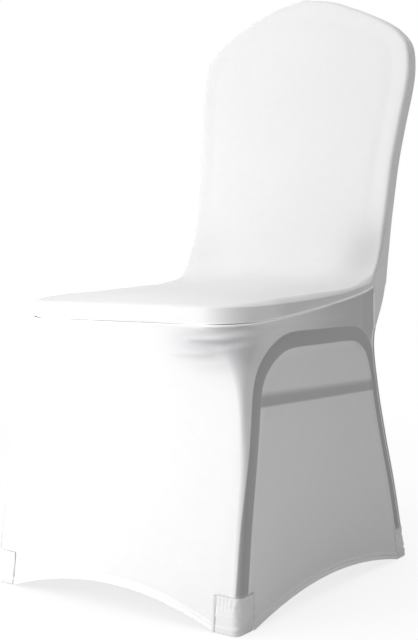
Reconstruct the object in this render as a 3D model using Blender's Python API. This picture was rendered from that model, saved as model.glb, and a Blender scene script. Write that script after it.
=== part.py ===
"""Fitted stretch cover for a banquet chair with a crown-shaped back.

The cover hangs in its worn shape and is hollow: the chair that fills it is left out.  It is cut and
sewn from an inside panel (inside back and seat in one cloth), an outside back panel, a skirt that
wraps the front and both sides, a back skirt panel, and four foot pockets with closed soles.
Metres, +Z up, X across the chair, +Y towards its rear; the floor is Z = 0.
"""

import math
from collections import namedtuple

import bmesh
import bpy

# Cloth and sewing sizes.
CLOTH = 0.0015            # thickness of the stretch knit with its seam allowances
POCKET_CLOTH = 0.002      # doubled, reinforced knit of the foot pockets
SEAM_GAP = 0.0004         # what each piece keeps back from a seam line
SEAT_GAP = 0.0015         # the same for the skirt along the curved seat seam
MID_DEPTH = 0.0293        # the stations below run from here; taken off so Y = 0 is mid-depth

# Plan of the seat panel, and how far the padding under it crowns.
SEAT_CORNER = 0.067
SEAT_CROWN = 0.008
BACK_CROWN = 0.004
CROWN_FULLNESS = 0.7      # below 1, the seat's crown is flatter in its middle than a sine

# The edge of the inside panel, from the seat's front edge over the seat and up to the shoulder.
# Each row gives the panel's face, the seam that it is sewn along, the panel's half width there
# and the radius of its rolled edge.
Edge = namedtuple("Edge", "y_face z_face y_seam z_seam half_width roll")
EDGES = [
    Edge(-0.2220, 0.4295, -0.2220, 0.4025, 0.2050, 0.012),
    Edge(-0.1550, 0.4385, -0.1550, 0.4070, 0.2052, 0.015),
    Edge(-0.0800, 0.4430, -0.0800, 0.4130, 0.2048, 0.014),
    Edge(0.0000, 0.4455, 0.0000, 0.4210, 0.2030, 0.013),
    Edge(0.0900, 0.4485, 0.0900, 0.4315, 0.1985, 0.010),
    Edge(0.1400, 0.4535, 0.1430, 0.4390, 0.1950, 0.006),
    Edge(0.1740, 0.4610, 0.1810, 0.4475, 0.1925, 0.005),
    Edge(0.1880, 0.4740, 0.1925, 0.4695, 0.1920, 0.004),
    Edge(0.1980, 0.4900, 0.2030, 0.4880, 0.1920, 0.004),
    Edge(0.2070, 0.5110, 0.2140, 0.5100, 0.1920, 0.005),
    Edge(0.2138, 0.5300, 0.2225, 0.5295, 0.1915, 0.007),
    Edge(0.2200, 0.5540, 0.2335, 0.5540, 0.1913, 0.010),
    Edge(0.2275, 0.5880, 0.2445, 0.5880, 0.1921, 0.012),
    Edge(0.2386, 0.6500, 0.2556, 0.6500, 0.1945, 0.012),
    Edge(0.2509, 0.7100, 0.2679, 0.7100, 0.2003, 0.012),
    Edge(0.2638, 0.7700, 0.2808, 0.7700, 0.2065, 0.012),
    Edge(0.2700, 0.8000, 0.2870, 0.8000, 0.2085, 0.012),
    Edge(0.2732, 0.8280, 0.2902, 0.8280, 0.2070, 0.012),
    Edge(0.2742, 0.8450, 0.2912, 0.8450, 0.2035, 0.012),
    Edge(0.2746, 0.8555, 0.2916, 0.8555, 0.1985, 0.012),
    Edge(0.2749, 0.8625, 0.2919, 0.8625, 0.1930, 0.012),
    Edge(0.2763, 0.9000, 0.2933, 0.9000, 0.1400, 0.012),
    Edge(0.2778, 0.9460, 0.2948, 0.9460, 0.0000, 0.012),
]
SIDE_ROW = 3              # half-way along the side of the seat
CORNER_ROW = 6            # where the seat seam meets the seam up the back
FOLD_ROW = 7              # the fold between the seat and the inside back
BACK_ROW = 8              # the foot of the inside back
UPRIGHT = 12              # the first row from which the seam runs mid-way through the back
SHOULDER = 20             # the row where the side turns into the crown

# Top line of the crown, from the middle out to the shoulder.
Crown = namedtuple("Crown", "x z")
CROWN = [
    Crown(0.000, 0.9460),
    Crown(0.050, 0.9375),
    Crown(0.100, 0.9190),
    Crown(0.140, 0.9005),
    Crown(0.160, 0.8895),
    Crown(0.177, 0.8780),
    Crown(0.187, 0.8690),
    Crown(0.193, 0.8625),
]

# The rear of the cover from the floor up: the splayed legs, the waist under the seat, the back.
Rear = namedtuple("Rear", "z y half_width")
REARS = [
    Rear(0.000, 0.2500, 0.2235),
    Rear(0.050, 0.2420, 0.2190),
    Rear(0.119, 0.2310, 0.2130),
    Rear(0.210, 0.2105, 0.2050),
    Rear(0.290, 0.1975, 0.1975),
    Rear(0.352, 0.1930, 0.1925),
    Rear(0.375, 0.1965, 0.1920),
    Rear(0.392, 0.2060, 0.1920),
    Rear(0.424, 0.2243, 0.1920),
    Rear(0.456, 0.2345, 0.1920),
    Rear(0.500, 0.2425, 0.1920),
    Rear(0.560, 0.2560, 0.1913),
    Rear(0.620, 0.2675, 0.1931),
    Rear(0.710, 0.2850, 0.2003),
    Rear(0.800, 0.3040, 0.2085),
    Rear(0.862, 0.3090, 0.1931),
    Rear(0.900, 0.3105, 0.1400),
    Rear(0.946, 0.3120, 0.0000),
]
REAR_ROLL = 0.011
REAR_CORNER = 0.013

# The front corners of the skirt from the floor up, with the bow of each side's middle:
# plus is outwards.
Front = namedtuple("Front", "z y half_width corner side_bow front_bow")
FRONTS = [
    Front(0.000, -0.2534, 0.2230, 0.016, -0.002, -0.003),
    Front(0.050, -0.2494, 0.2210, 0.016, -0.003, -0.004),
    Front(0.120, -0.2400, 0.2185, 0.016, -0.004, -0.005),
    Front(0.240, -0.2250, 0.2150, 0.022, -0.004, -0.004),
    Front(0.300, -0.2215, 0.2110, 0.026, -0.002, -0.002),
    Front(0.360, -0.2218, 0.2068, 0.042, 0.001, 0.001),
    Front(0.405, -0.2220, 0.2050, 0.067, 0.003, 0.003),
    Front(0.450, -0.2220, 0.2050, 0.067, 0.003, 0.003),
]

# Seams and hems.
SEAM_CORNER_Y = 0.1840    # vertical rear seam, above the waist
SEAM_BACKSET = 0.017      # the same seam, ahead of the rear face of the leg
WAIST = 0.352
BACK_SEAM_Z = 0.450       # outside back to back skirt, across the rear
BACK_SEAM_DROP = 0.015    # how far that seam drops where it meets the vertical seam
DROP_FADE = 0.100
POCKET_TOP = 0.050
POCKET_SIZE = 0.037
POCKET_GAP = 0.0008       # between a pocket's top edge and the cloth above
NOTCH_SIZE = 0.039        # cut out of the skirt's corner for a pocket
POCKET_SOLE_ROLL = 0.004
POCKET_INNER_ROLL = 0.006 # rounding of a pocket's other three corners
FRONT_ARCH = 0.033
SIDE_ARCH = 0.027
REAR_ARCH = 0.030
HEM_FOOT = 0.001          # height of the hem where it meets a pocket

# How finely each piece is divided.
PANEL_ACROSS = 14
PANEL_ALONG = 30
BACK_ALONG = 15
ROLL_STEPS = 2
ARC_STEPS = 4
HEM_ROWS = 2
SKIRT_LEVELS = (0.110, 0.170, 0.230, 0.290, 0.325, 0.352, 0.380)
TOP_ROWS = 3
SIDE_STEPS = 8
FRONT_STEPS = 8
REAR_STEPS = 8
NOTCH_COLUMNS = 2         # columns over a pocket, on each side of its corner
POCKET_ARC = 3
SLOPE_STEP = 0.004        # half the length over which a slope is taken

WHITE = (0.90, 0.90, 0.91, 1.0)


def smooth(xs, ys, at):
    """Value at `at` of a smooth curve through (xs, ys) that never swings past its points."""
    at = min(max(at, xs[0]), xs[-1])
    last = len(xs) - 2
    i = max(k for k in range(last + 1) if xs[k] <= at)
    steps = [(ys[k + 1] - ys[k]) / (xs[k + 1] - xs[k]) for k in range(last + 1)]

    def slope(k):
        if k == 0:
            return steps[0]
        if k == last + 1:
            return steps[last]
        before, after = steps[k - 1], steps[k]
        if before * after <= 0.0:
            return 0.0
        return 2.0 * before * after / (before + after)

    width = xs[i + 1] - xs[i]
    t = (at - xs[i]) / width
    start = (1 + 2 * t) * (1 - t) ** 2 * ys[i] + t * (1 - t) ** 2 * width * slope(i)
    end = t * t * (3 - 2 * t) * ys[i + 1] + t * t * (t - 1) * width * slope(i + 1)
    return start + end


def column(rows, name):
    return [getattr(row, name) for row in rows]


def read(rows, key, name, at):
    """The named column of a table at `at` along its key column."""
    return smooth(column(rows, key), column(rows, name), at)


def mix(a, b, t):
    return a + (b - a) * t


# Length along the inside panel's face, from the seat's front edge to the top of the crown.
RUN = [0.0]
for lower, upper in zip(EDGES, EDGES[1:]):
    RUN.append(RUN[-1] + math.hypot(upper.y_face - lower.y_face, upper.z_face - lower.z_face))


def along(name, run):
    """The named column of EDGES at a length along the face."""
    return smooth(RUN, column(EDGES, name), run)


def run_at_height(z):
    """Length along the face where the inside back reaches height z."""
    return smooth(column(EDGES[UPRIGHT:], "z_face"), RUN[UPRIGHT:], z)


def crown_z(x):
    return read(CROWN, "x", "z", abs(x))


def face_point(x, run):
    """A point of the inside panel's face, with the slight crown of the padding under it."""
    y = along("y_face", run)
    z = along("z_face", run)
    dy = along("y_face", run + SLOPE_STEP) - along("y_face", run - SLOPE_STEP)
    dz = along("z_face", run + SLOPE_STEP) - along("z_face", run - SLOPE_STEP)
    length = math.hypot(dy, dz)
    half = max(along("half_width", run), EDGES[SHOULDER].half_width)
    across = max(0.0, 1.0 - (x / half) ** 2)
    seat = math.sin(math.pi * min(run / RUN[FOLD_ROW], 1.0)) ** CROWN_FULLNESS
    rise = min(max((run - RUN[BACK_ROW]) / (RUN[SHOULDER] - RUN[BACK_ROW]), 0.0), 1.0)
    crown = across * (SEAT_CROWN * seat + BACK_CROWN * math.sin(math.pi * rise))
    return (x, y - crown * dz / length, z + crown * dy / length)


def panel_outline():
    """The inside panel's edge as four runs of (x, run): front, right, top, left."""
    corner = SEAT_CORNER
    flat = EDGES[0].half_width - corner
    reach = flat + corner * math.pi / 4

    def front(a):
        s = abs(a) * reach
        if s <= flat:
            return (math.copysign(s, a), 0.0)
        turn = (s - flat) / corner
        return (math.copysign(flat + corner * math.sin(turn), a), corner * (1 - math.cos(turn)))

    def side(b):
        start = corner * math.pi / 4
        s = b * (start + RUN[SHOULDER] - corner)
        if s <= start:
            turn = math.pi / 4 + s / corner
            return (flat + corner * math.sin(turn), corner * (1 - math.cos(turn)))
        run = corner + s - start
        return (along("half_width", run), run)

    def top(a):
        x = a * EDGES[SHOULDER].half_width
        return (x, run_at_height(crown_z(x)))

    across = [2 * i / PANEL_ACROSS - 1 for i in range(PANEL_ACROSS + 1)]
    up = [j / PANEL_ALONG for j in range(PANEL_ALONG + 1)]
    right = [side(b) for b in up]
    left = [(-x, run) for x, run in right]
    return [front(a) for a in across], right, [top(a) for a in across], left


def closed_loop(front, right, top, left):
    """The four runs as one loop, corners once, turning anticlockwise from the front left."""
    return front + right[1:-1] + top[::-1] + left[-2:0:-1]


def loop_normals(loop):
    """Outward unit normals of an anticlockwise loop."""
    normals = []
    for i in range(len(loop)):
        before, after = loop[i - 1], loop[(i + 1) % len(loop)]
        dx, dy = after[0] - before[0], after[1] - before[1]
        length = math.hypot(dx, dy)
        normals.append((dy / length, -dx / length))
    return normals


def split_loop(loop, across, up):
    """A loop of points cut back into its front, right, top and left runs."""
    front = loop[:across + 1]
    right = loop[across:across + up + 1]
    top = loop[across + up:2 * across + up + 1][::-1]
    left = [loop[0]] + loop[2 * across + up:][::-1]
    return front, right, top, left


def fill_patch(front, right, top, left):
    """Rows of points that blend smoothly between the four edges of a patch."""
    rows = []
    for j in range(len(right)):
        b = j / (len(right) - 1)
        row = []
        for i in range(len(front)):
            a = i / (len(front) - 1)
            point = []
            for k in range(2):
                lines = mix(front[i][k], top[i][k], b) + mix(left[j][k], right[j][k], a)
                corners = mix(mix(front[0][k], front[-1][k], a), mix(top[0][k], top[-1][k], a), b)
                point.append(lines - corners)
            row.append(tuple(point))
        rows.append(row)
    return rows


def build_sheet(name, points, faces, thickness, colour=WHITE):
    """One closed sheet: the outer surface given, thickened inwards."""
    mesh = bpy.data.meshes.new(name)
    mesh.from_pydata([(x, y - MID_DEPTH, z) for x, y, z in points], [], faces)
    work = bmesh.new()
    work.from_mesh(mesh)
    loose = [v for v in work.verts if not v.link_faces]
    bmesh.ops.delete(work, geom=loose, context="VERTS")
    bmesh.ops.triangulate(work, faces=work.faces[:])
    work.to_mesh(mesh)
    work.free()
    mesh.shade_smooth()
    piece = bpy.data.objects.new(name, mesh)
    bpy.context.scene.collection.objects.link(piece)
    wall = piece.modifiers.new("wall", "SOLIDIFY")
    wall.thickness = thickness
    wall.offset = -1.0
    wall.use_even_offset = True
    material = bpy.data.materials.new(name + "_cloth")
    material.use_nodes = True
    shader = material.node_tree.nodes["Principled BSDF"]
    shader.inputs["Base Color"].default_value = colour
    shader.inputs["Roughness"].default_value = 0.75
    shader.inputs["Metallic"].default_value = 0.0
    mesh.materials.append(material)
    return piece


def grid_faces(rows, columns, keep=lambda row, col: True):
    """Quads of a grid of points stored row by row, rows going up and columns anticlockwise."""
    faces = []
    for row in range(rows - 1):
        for col in range(columns - 1):
            if keep(row, col):
                corner = row * columns + col
                faces.append((corner, corner + 1, corner + columns + 1, corner + columns))
    return faces


def inside_panel():
    """Inside back and seat in one cloth, rolled over the edge all round to the seam."""
    loop = closed_loop(*panel_outline())
    normals = loop_normals(loop)
    rolls = [along("roll", run) for x, run in loop]
    inset = [(x - r * nx, run - r * nr) for (x, run), (nx, nr), r in zip(loop, normals, rolls)]
    rows = fill_patch(*split_loop(inset, PANEL_ACROSS, PANEL_ALONG))
    points = [face_point(x, run) for row in rows for x, run in row]
    faces = grid_faces(PANEL_ALONG + 1, PANEL_ACROSS + 1)

    width = PANEL_ACROSS + 1
    rim = list(range(width))
    rim += [j * width + PANEL_ACROSS for j in range(1, PANEL_ALONG)]
    rim += [PANEL_ALONG * width + i for i in range(PANEL_ACROSS, -1, -1)]
    rim += [j * width for j in range(PANEL_ALONG - 1, 0, -1)]
    for step in range(1, ROLL_STEPS + 2):
        ring = []
        for (x, run), (nx, nr), roll in zip(loop, normals, rolls):
            down_y = along("y_seam", run) - along("y_face", run)
            down_z = along("z_seam", run) - along("z_face", run)
            depth = math.hypot(down_y, down_z)
            turn = min(step / ROLL_STEPS, 1.0) * math.pi / 2
            back = roll * (1 - math.sin(turn))
            sunk = roll * (1 - math.cos(turn)) if step <= ROLL_STEPS else depth - SEAM_GAP
            px, py, pz = face_point(x - back * nx, run - back * nr)
            ring.append(len(points))
            points.append((px, py + down_y / depth * sunk, pz + down_z / depth * sunk))
        for i in range(len(rim)):
            j = (i + 1) % len(rim)
            faces.append((rim[j], rim[i], ring[i], ring[j]))
        rim = ring
    return build_sheet("inside_panel", points, faces, CLOTH)


def seam_y(z):
    """How far back the seam up the side of the back lies at height z."""
    corner = EDGES[CORNER_ROW]
    if z < corner.z_seam:
        return mix(SEAM_CORNER_Y, corner.y_seam, (z - WAIST) / (corner.z_seam - WAIST))
    return read(EDGES[CORNER_ROW:], "z_seam", "y_seam", z)


def seam_half_width(z):
    """Half width of the cover at the seam up the side of the back, at height z."""
    return read(EDGES[CORNER_ROW:], "z_seam", "half_width", z)


def outside_back():
    """Rear of the back, rolled round its sides and over the crown to the seam."""
    across = PANEL_ACROSS
    up = BACK_ALONG
    bottom = BACK_SEAM_Z + SEAM_GAP
    shoulder = EDGES[SHOULDER]
    heights = [mix(bottom, shoulder.z_face, j / up) for j in range(up + 1)]
    right = [(seam_half_width(z), z) for z in heights]
    right[-1] = (shoulder.half_width, shoulder.z_face)
    left = [(-x, z) for x, z in right]
    spread = [2 * i / across - 1 for i in range(across + 1)]
    low = [(a * right[0][0], bottom) for a in spread]
    top = [(a * shoulder.half_width, crown_z(a * shoulder.half_width)) for a in spread]
    loop = closed_loop(low, right, top, left)
    normals = loop_normals(loop)
    for i in range(across + 1):
        normals[i] = (0.0, 0.0)
    normals[across] = (1.0, 0.0)
    normals[0] = (-1.0, 0.0)
    inset = [(x - REAR_ROLL * nx, z - REAR_ROLL * nz) for (x, z), (nx, nz) in zip(loop, normals)]
    rows = fill_patch(*split_loop(inset, across, up))
    width = across + 1
    points = [(x, read(REARS, "z", "y", z), z) for row in rows for x, z in row]
    faces = [tuple(reversed(face)) for face in grid_faces(up + 1, width)]

    rim = [j * width + across for j in range(up)]
    rim += [up * width + i for i in range(across, -1, -1)]
    rim += [j * width for j in range(up - 1, -1, -1)]
    edge = list(range(across, len(loop))) + [0]
    for step in range(1, ROLL_STEPS + 2):
        ring = []
        for k in edge:
            (x, z), (nx, nz) = loop[k], normals[k]
            turn = min(step / ROLL_STEPS, 1.0) * math.pi / 2
            back = REAR_ROLL * (1 - math.sin(turn))
            sunk = REAR_ROLL * (1 - math.cos(turn))
            level = z - back * nz
            y = read(REARS, "z", "y", level) - sunk
            fade = max(0.0, 1.0 - (z - bottom) / DROP_FADE)
            if step > ROLL_STEPS:
                level -= BACK_SEAM_DROP * fade
                y = seam_y(level) + SEAM_GAP
            ring.append(len(points))
            points.append((x - back * nx, y, level))
        for i in range(len(rim) - 1):
            faces.append((rim[i], rim[i + 1], ring[i + 1], ring[i]))
        rim = ring
    return build_sheet("outside_back", points, faces, CLOTH)


def back_seam_start(z):
    """Where the vertical rear seam lies at height z: (half width, y)."""
    y = read(REARS, "z", "y", z) - SEAM_BACKSET
    if z > WAIST:
        y = min(y, seam_y(z))
    return read(REARS, "z", "half_width", z), y


def side_x(y, z):
    """Half width of the skirt at depth y and height z, between its rear seam and front corner."""
    rear_x, rear_y = back_seam_start(z)
    front_x = read(FRONTS, "z", "half_width", z)
    front_y = read(FRONTS, "z", "y", z) + read(FRONTS, "z", "corner", z)
    u = (rear_y - y) / (rear_y - front_y)
    bow = read(FRONTS, "z", "side_bow", z) * 4 * u * (1 - u)
    return mix(rear_x, front_x, u) + bow


def skirt_stops():
    """Right half of the skirt's columns, rear seam to front middle: (part, share of that part)."""
    foot = FRONTS[0]
    side = (REARS[0].y - SEAM_BACKSET) - (foot.y + foot.corner)
    rear = (NOTCH_SIZE - SEAM_BACKSET) / side
    front = (NOTCH_SIZE - foot.corner) / side
    stops = [("side", 0.0), ("side", rear / 2), ("side", rear)]
    stops += [("side", mix(rear, 1 - front, i / SIDE_STEPS)) for i in range(1, SIDE_STEPS + 1)]
    stops += [("side", 1 - front / 2), ("side", 1.0)]
    stops += [("corner", i / ARC_STEPS) for i in range(1, ARC_STEPS + 1)]
    inner = (NOTCH_SIZE - foot.corner) / (foot.half_width - foot.corner)
    stops += [("front", inner / 2), ("front", inner)]
    steps = FRONT_STEPS // 2
    stops += [("front", mix(inner, 1.0, i / steps)) for i in range(1, steps + 1)]
    return stops


def skirt_point(part, share, z):
    """A point of the skirt's right half at height z."""
    corner = read(FRONTS, "z", "corner", z)
    front_x = read(FRONTS, "z", "half_width", z)
    front_y = read(FRONTS, "z", "y", z)
    if part == "side":
        start = back_seam_start(z)[1]
        y = mix(start, front_y + corner, share)
        return (side_x(y, z), y)
    if part == "corner":
        turn = share * math.pi / 2
        return (front_x - corner * (1 - math.cos(turn)), front_y + corner * (1 - math.sin(turn)))
    u = share
    bow = read(FRONTS, "z", "front_bow", z) * u * (2 - u)
    return ((front_x - corner) * (1 - u), front_y - bow)


def seam_height(part, share):
    """Height of the seat seam over a column of the skirt."""
    y = skirt_point(part, share, EDGES[SIDE_ROW].z_seam)[1]
    return read(EDGES[:CORNER_ROW + 1], "y_seam", "z_seam", y)


def arch(u, height):
    """Height of a hem that arches between two pockets; u runs from 0 to 1."""
    return HEM_FOOT + (height - HEM_FOOT) * 4 * u * (1 - u)


def skirt_grid(stops, tops, hems, notch, place):
    """Rows of points from the hem to the top seam, and the faces outside the pocket notches."""
    columns = []
    base = POCKET_TOP + POCKET_GAP
    for stop, top, hem in zip(stops, tops, hems):
        levels = [mix(hem, base, row / HEM_ROWS) for row in range(HEM_ROWS)] + [base]
        levels += SKIRT_LEVELS
        levels += [mix(SKIRT_LEVELS[-1], top, (row + 1) / TOP_ROWS) for row in range(TOP_ROWS)]
        columns.append([place(stop, z) for z in levels])
    rows = len(columns[0])
    points = [line[row] for row in range(rows) for line in columns]

    def keep(row, col):
        return row >= HEM_ROWS or not notch(col)

    return points, grid_faces(rows, len(stops), keep)


def wrap_skirt():
    """Front and both sides of the skirt in one cloth, between the two rear seams."""
    half = skirt_stops()
    stops = [(1, stop) for stop in half] + [(-1, stop) for stop in half[-2::-1]]
    tops = [seam_height(*stop) - SEAT_GAP for hand, stop in stops]
    first = NOTCH_COLUMNS
    last = first + SIDE_STEPS
    front_first = last + NOTCH_COLUMNS + ARC_STEPS + NOTCH_COLUMNS
    hems = []
    for i, (hand, (part, share)) in enumerate(stops):
        k = min(i, len(stops) - 1 - i)
        if first <= k <= last:
            hems.append(arch((k - first) / SIDE_STEPS, SIDE_ARCH))
        elif k >= front_first:
            hems.append(arch((k - front_first) / FRONT_STEPS, FRONT_ARCH))
        else:
            hems.append(HEM_FOOT)

    def notch(col):
        k = min(col, len(stops) - 2 - col)
        return k < first or last <= k < front_first

    def place(stop, z):
        hand, (part, share) = stop
        x, y = skirt_point(part, share, z)
        if part == "side":
            y -= SEAM_GAP * (1 - share)
        return (hand * x, y, z)

    points, faces = skirt_grid(stops, tops, hems, notch, place)
    faces = [tuple(reversed(face)) for face in faces]
    return build_sheet("wrap_skirt", points, faces, CLOTH)


def rear_point(part, share, z):
    """A point of the back skirt's right half at height z, from the vertical seam round."""
    x, start = back_seam_start(z)
    rear = read(REARS, "z", "y", z)
    if part == "side":
        return (x, mix(start + SEAM_GAP, rear - REAR_CORNER, share))
    if part == "corner":
        turn = share * math.pi / 2
        return (x - REAR_CORNER * (1 - math.cos(turn)), rear - REAR_CORNER * (1 - math.sin(turn)))
    return ((x - REAR_CORNER) * (1 - share), rear)


def back_skirt():
    """Rear of the skirt, from the outside back's seam down to its arched hem."""
    half = [("side", 0.0), ("side", 1.0)]
    half += [("corner", i / ARC_STEPS) for i in range(1, ARC_STEPS + 1)]
    inner = (NOTCH_SIZE - REAR_CORNER) / (REARS[0].half_width - REAR_CORNER)
    half += [("rear", inner / 2), ("rear", inner)]
    steps = REAR_STEPS // 2
    half += [("rear", mix(inner, 1.0, i / steps)) for i in range(1, steps + 1)]
    stops = [(1, stop) for stop in half] + [(-1, stop) for stop in half[-2::-1]]
    open_from = 1 + ARC_STEPS + NOTCH_COLUMNS
    tops = []
    hems = []
    for i in range(len(stops)):
        k = min(i, len(stops) - 1 - i)
        drop = BACK_SEAM_DROP if k == 0 else 0.0
        tops.append(BACK_SEAM_Z - drop - SEAM_GAP)
        hems.append(arch((k - open_from) / REAR_STEPS, REAR_ARCH) if k >= open_from else HEM_FOOT)

    def notch(col):
        return min(col, len(stops) - 2 - col) < open_from

    def place(stop, z):
        hand, (part, share) = stop
        x, y = rear_point(part, share, z)
        return (hand * x, y, z)

    points, faces = skirt_grid(stops, tops, hems, notch, place)
    return build_sheet("back_skirt", points, faces, CLOTH)


def foot_pocket(name, hand, front):
    """A closed-soled pocket under one leg, open at its top."""
    rings = []
    levels = [(0.0, POCKET_SOLE_ROLL), (POCKET_SOLE_ROLL / 4, POCKET_SOLE_ROLL / 3)]
    levels += [(POCKET_SOLE_ROLL, 0.0), (POCKET_TOP / 2, 0.0), (POCKET_TOP, 0.0)]
    for z, inset in levels:
        if front:
            corner_x = read(FRONTS, "z", "half_width", z)
            corner_y = read(FRONTS, "z", "y", z)
            roll = read(FRONTS, "z", "corner", z)
        else:
            corner_x = read(REARS, "z", "half_width", z)
            corner_y = read(REARS, "z", "y", z)
            roll = REAR_CORNER
        inward = 1 if front else -1
        half = POCKET_SIZE / 2
        mid_x = corner_x - half
        mid_y = corner_y + inward * half
        ring = []
        # Four rounded corners: the outer one, then round the leg.
        for quarter, (sx, sy) in enumerate(((1, -1), (1, 1), (-1, 1), (-1, -1))):
            radius = roll if quarter == 0 else POCKET_INNER_ROLL
            for step in range(POCKET_ARC + 1):
                turn = math.radians(90 * (quarter - 1 + step / POCKET_ARC))
                reach = half - radius
                x = sx * reach + radius * math.cos(turn)
                y = sy * reach + radius * math.sin(turn)
                shrink = 1 - inset / half
                ring.append((hand * (mid_x + x * shrink), mid_y + inward * y * shrink, z))
        rings.append(ring)
    count = len(rings[0])
    points = [point for ring in rings for point in ring]
    faces = [tuple(range(count))[::-1]]
    for level in range(len(rings) - 1):
        for i in range(count):
            j = (i + 1) % count
            a = level * count
            faces.append((a + i, a + j, a + count + j, a + count + i))
    if (hand > 0) != front:
        faces = [tuple(reversed(face)) for face in faces]
    return build_sheet(name, points, faces, POCKET_CLOTH)


def main():
    for item in list(bpy.data.objects):
        bpy.data.objects.remove(item, do_unlink=True)
    inside_panel()
    outside_back()
    wrap_skirt()
    back_skirt()
    foot_pocket("foot_pocket_front_right", 1, True)
    foot_pocket("foot_pocket_front_left", -1, True)
    foot_pocket("foot_pocket_rear_right", 1, False)
    foot_pocket("foot_pocket_rear_left", -1, False)


main()
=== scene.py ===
import math

import bmesh
import bpy
import numpy as np
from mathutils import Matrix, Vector


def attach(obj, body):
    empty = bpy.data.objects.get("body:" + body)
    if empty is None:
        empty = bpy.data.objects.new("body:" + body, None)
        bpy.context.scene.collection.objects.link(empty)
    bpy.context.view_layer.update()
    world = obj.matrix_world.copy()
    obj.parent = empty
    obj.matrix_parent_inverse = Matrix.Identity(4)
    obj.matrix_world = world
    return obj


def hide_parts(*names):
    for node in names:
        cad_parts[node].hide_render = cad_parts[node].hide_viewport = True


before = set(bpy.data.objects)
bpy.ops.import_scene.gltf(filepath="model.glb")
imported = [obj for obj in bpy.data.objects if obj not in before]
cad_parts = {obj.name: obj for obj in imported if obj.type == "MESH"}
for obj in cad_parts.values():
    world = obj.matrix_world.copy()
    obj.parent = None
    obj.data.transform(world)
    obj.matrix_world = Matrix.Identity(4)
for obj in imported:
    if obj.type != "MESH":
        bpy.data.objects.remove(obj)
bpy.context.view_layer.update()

scene = bpy.context.scene


# The studio: a wide pale floor that melts into even white surroundings, one large soft lamp low at
# the front left, and light from a pale ceiling.  Nothing here belongs to the cover.

WHITE = (1.0, 1.0, 1.0, 1.0)
ROOM_LEFT = 0.34              # strength of the light from the room's left, its right and its ceiling
ROOM_RIGHT = 0.0
ROOM_TURN = (-0.5, 0.6)
CEILING = 1.78
CEILING_TURN = (0.5, 1.0)
FLOOR_WHITE = (0.86, 0.86, 0.86, 1.0)
FLOOR_ROUGHNESS = 0.9
FLOOR_REACH = 60.0
HAZE_NEAR = 0.82              # share of haze over the floor close by; far off it is all haze
HAZE_TURN = (0.4, 2.2)


def wire(tree, node, inputs):
    """Gives a node's inputs values, or joins them to other nodes' outputs."""
    for name, value in inputs.items():
        if isinstance(value, bpy.types.NodeSocket):
            tree.links.new(value, node.inputs[name])
        else:
            node.inputs[name].default_value = value


def add_node(tree, kind, inputs=None, **settings):
    """A new node with its settings and its inputs."""
    node = tree.nodes.new(kind)
    for name, value in settings.items():
        setattr(node, name, value)
    wire(tree, node, inputs or {})
    return node


def maths(tree, operation, *values):
    """The result of a Math node."""
    return add_node(tree, "ShaderNodeMath", dict(enumerate(values)), operation=operation).outputs[0]


def map_range(tree, value, span, result, ease="SMOOTHSTEP"):
    """A value carried from one span to another."""
    inputs = {"Value": value, "From Min": span[0], "From Max": span[1],
              "To Min": result[0], "To Max": result[1]}
    return add_node(tree, "ShaderNodeMapRange", inputs, interpolation_type=ease).outputs["Result"]


def mix_shaders(tree, share, first, second, output):
    """Sends a mix of two shaders to an output node."""
    mix = add_node(tree, "ShaderNodeMixShader", {0: share, 1: first, 2: second})
    wire(tree, tree.nodes[output], {"Surface": mix.outputs[0]})


def new_paint(name):
    """A material, its node tree and its shader."""
    paint = bpy.data.materials.new(name)
    paint.use_nodes = True
    return paint, paint.node_tree, paint.node_tree.nodes["Principled BSDF"]


def new_object(name, mesh):
    """An object in the scene, at the origin."""
    thing = bpy.data.objects.new(name, mesh)
    scene.collection.objects.link(thing)
    return thing


world = bpy.data.worlds.new("studio")
world.use_nodes = True
sky = world.node_tree
backdrop = sky.nodes["Background"]
wire(sky, backdrop, {"Color": WHITE, "Strength": 1.0})
facing = add_node(sky, "ShaderNodeTexCoord").outputs["Generated"]
way = add_node(sky, "ShaderNodeSeparateXYZ", {0: facing}).outputs
room_light = maths(sky, "ADD", map_range(sky, way["X"], ROOM_TURN, (ROOM_LEFT, ROOM_RIGHT)),
                   map_range(sky, way["Z"], CEILING_TURN, (0.0, CEILING)))
room = add_node(sky, "ShaderNodeBackground", {"Color": WHITE, "Strength": room_light})
seen = add_node(sky, "ShaderNodeLightPath").outputs["Is Camera Ray"]
mix_shaders(sky, seen, room.outputs[0], backdrop.outputs[0], "World Output")
scene.world = world
scene.view_settings.view_transform = "Standard"

floor_mesh = bpy.data.meshes.new("studio_floor")
floor_mesh.from_pydata([(x * FLOOR_REACH, y * FLOOR_REACH, 0)
                        for x, y in ((-1, -1), (1, -1), (1, 1), (-1, 1))], [], [(0, 1, 2, 3)])
floor = new_object("studio_floor", floor_mesh)
floor_paint, ground, floor_shader = new_paint("studio_floor")
wire(ground, floor_shader, {"Base Color": FLOOR_WHITE, "Roughness": FLOOR_ROUGHNESS})
place = add_node(ground, "ShaderNodeTexCoord").outputs["Object"]
far = add_node(ground, "ShaderNodeVectorMath", {0: place}, operation="LENGTH").outputs["Value"]
seen = add_node(ground, "ShaderNodeLightPath").outputs["Is Camera Ray"]
haze = maths(ground, "MULTIPLY", map_range(ground, far, HAZE_TURN, (HAZE_NEAR, 1.0)), seen)
glow = add_node(ground, "ShaderNodeEmission", {"Color": WHITE})
mix_shaders(ground, haze, floor_shader.outputs[0], glow.outputs[0], "Material Output")
floor_mesh.materials.append(floor_paint)


def aim_from(thing, target, distance, azimuth, elevation):
    """Puts a lamp or camera at a distance from a point, and turns it to look there."""
    around, up = math.radians(azimuth), math.radians(elevation)
    thing.location = Vector(target) + distance * Vector((
        math.sin(around) * math.cos(up), -math.cos(around) * math.cos(up), math.sin(up)))
    thing.rotation_euler = (Vector(target) - thing.location).to_track_quat("-Z", "Y").to_euler()


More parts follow.
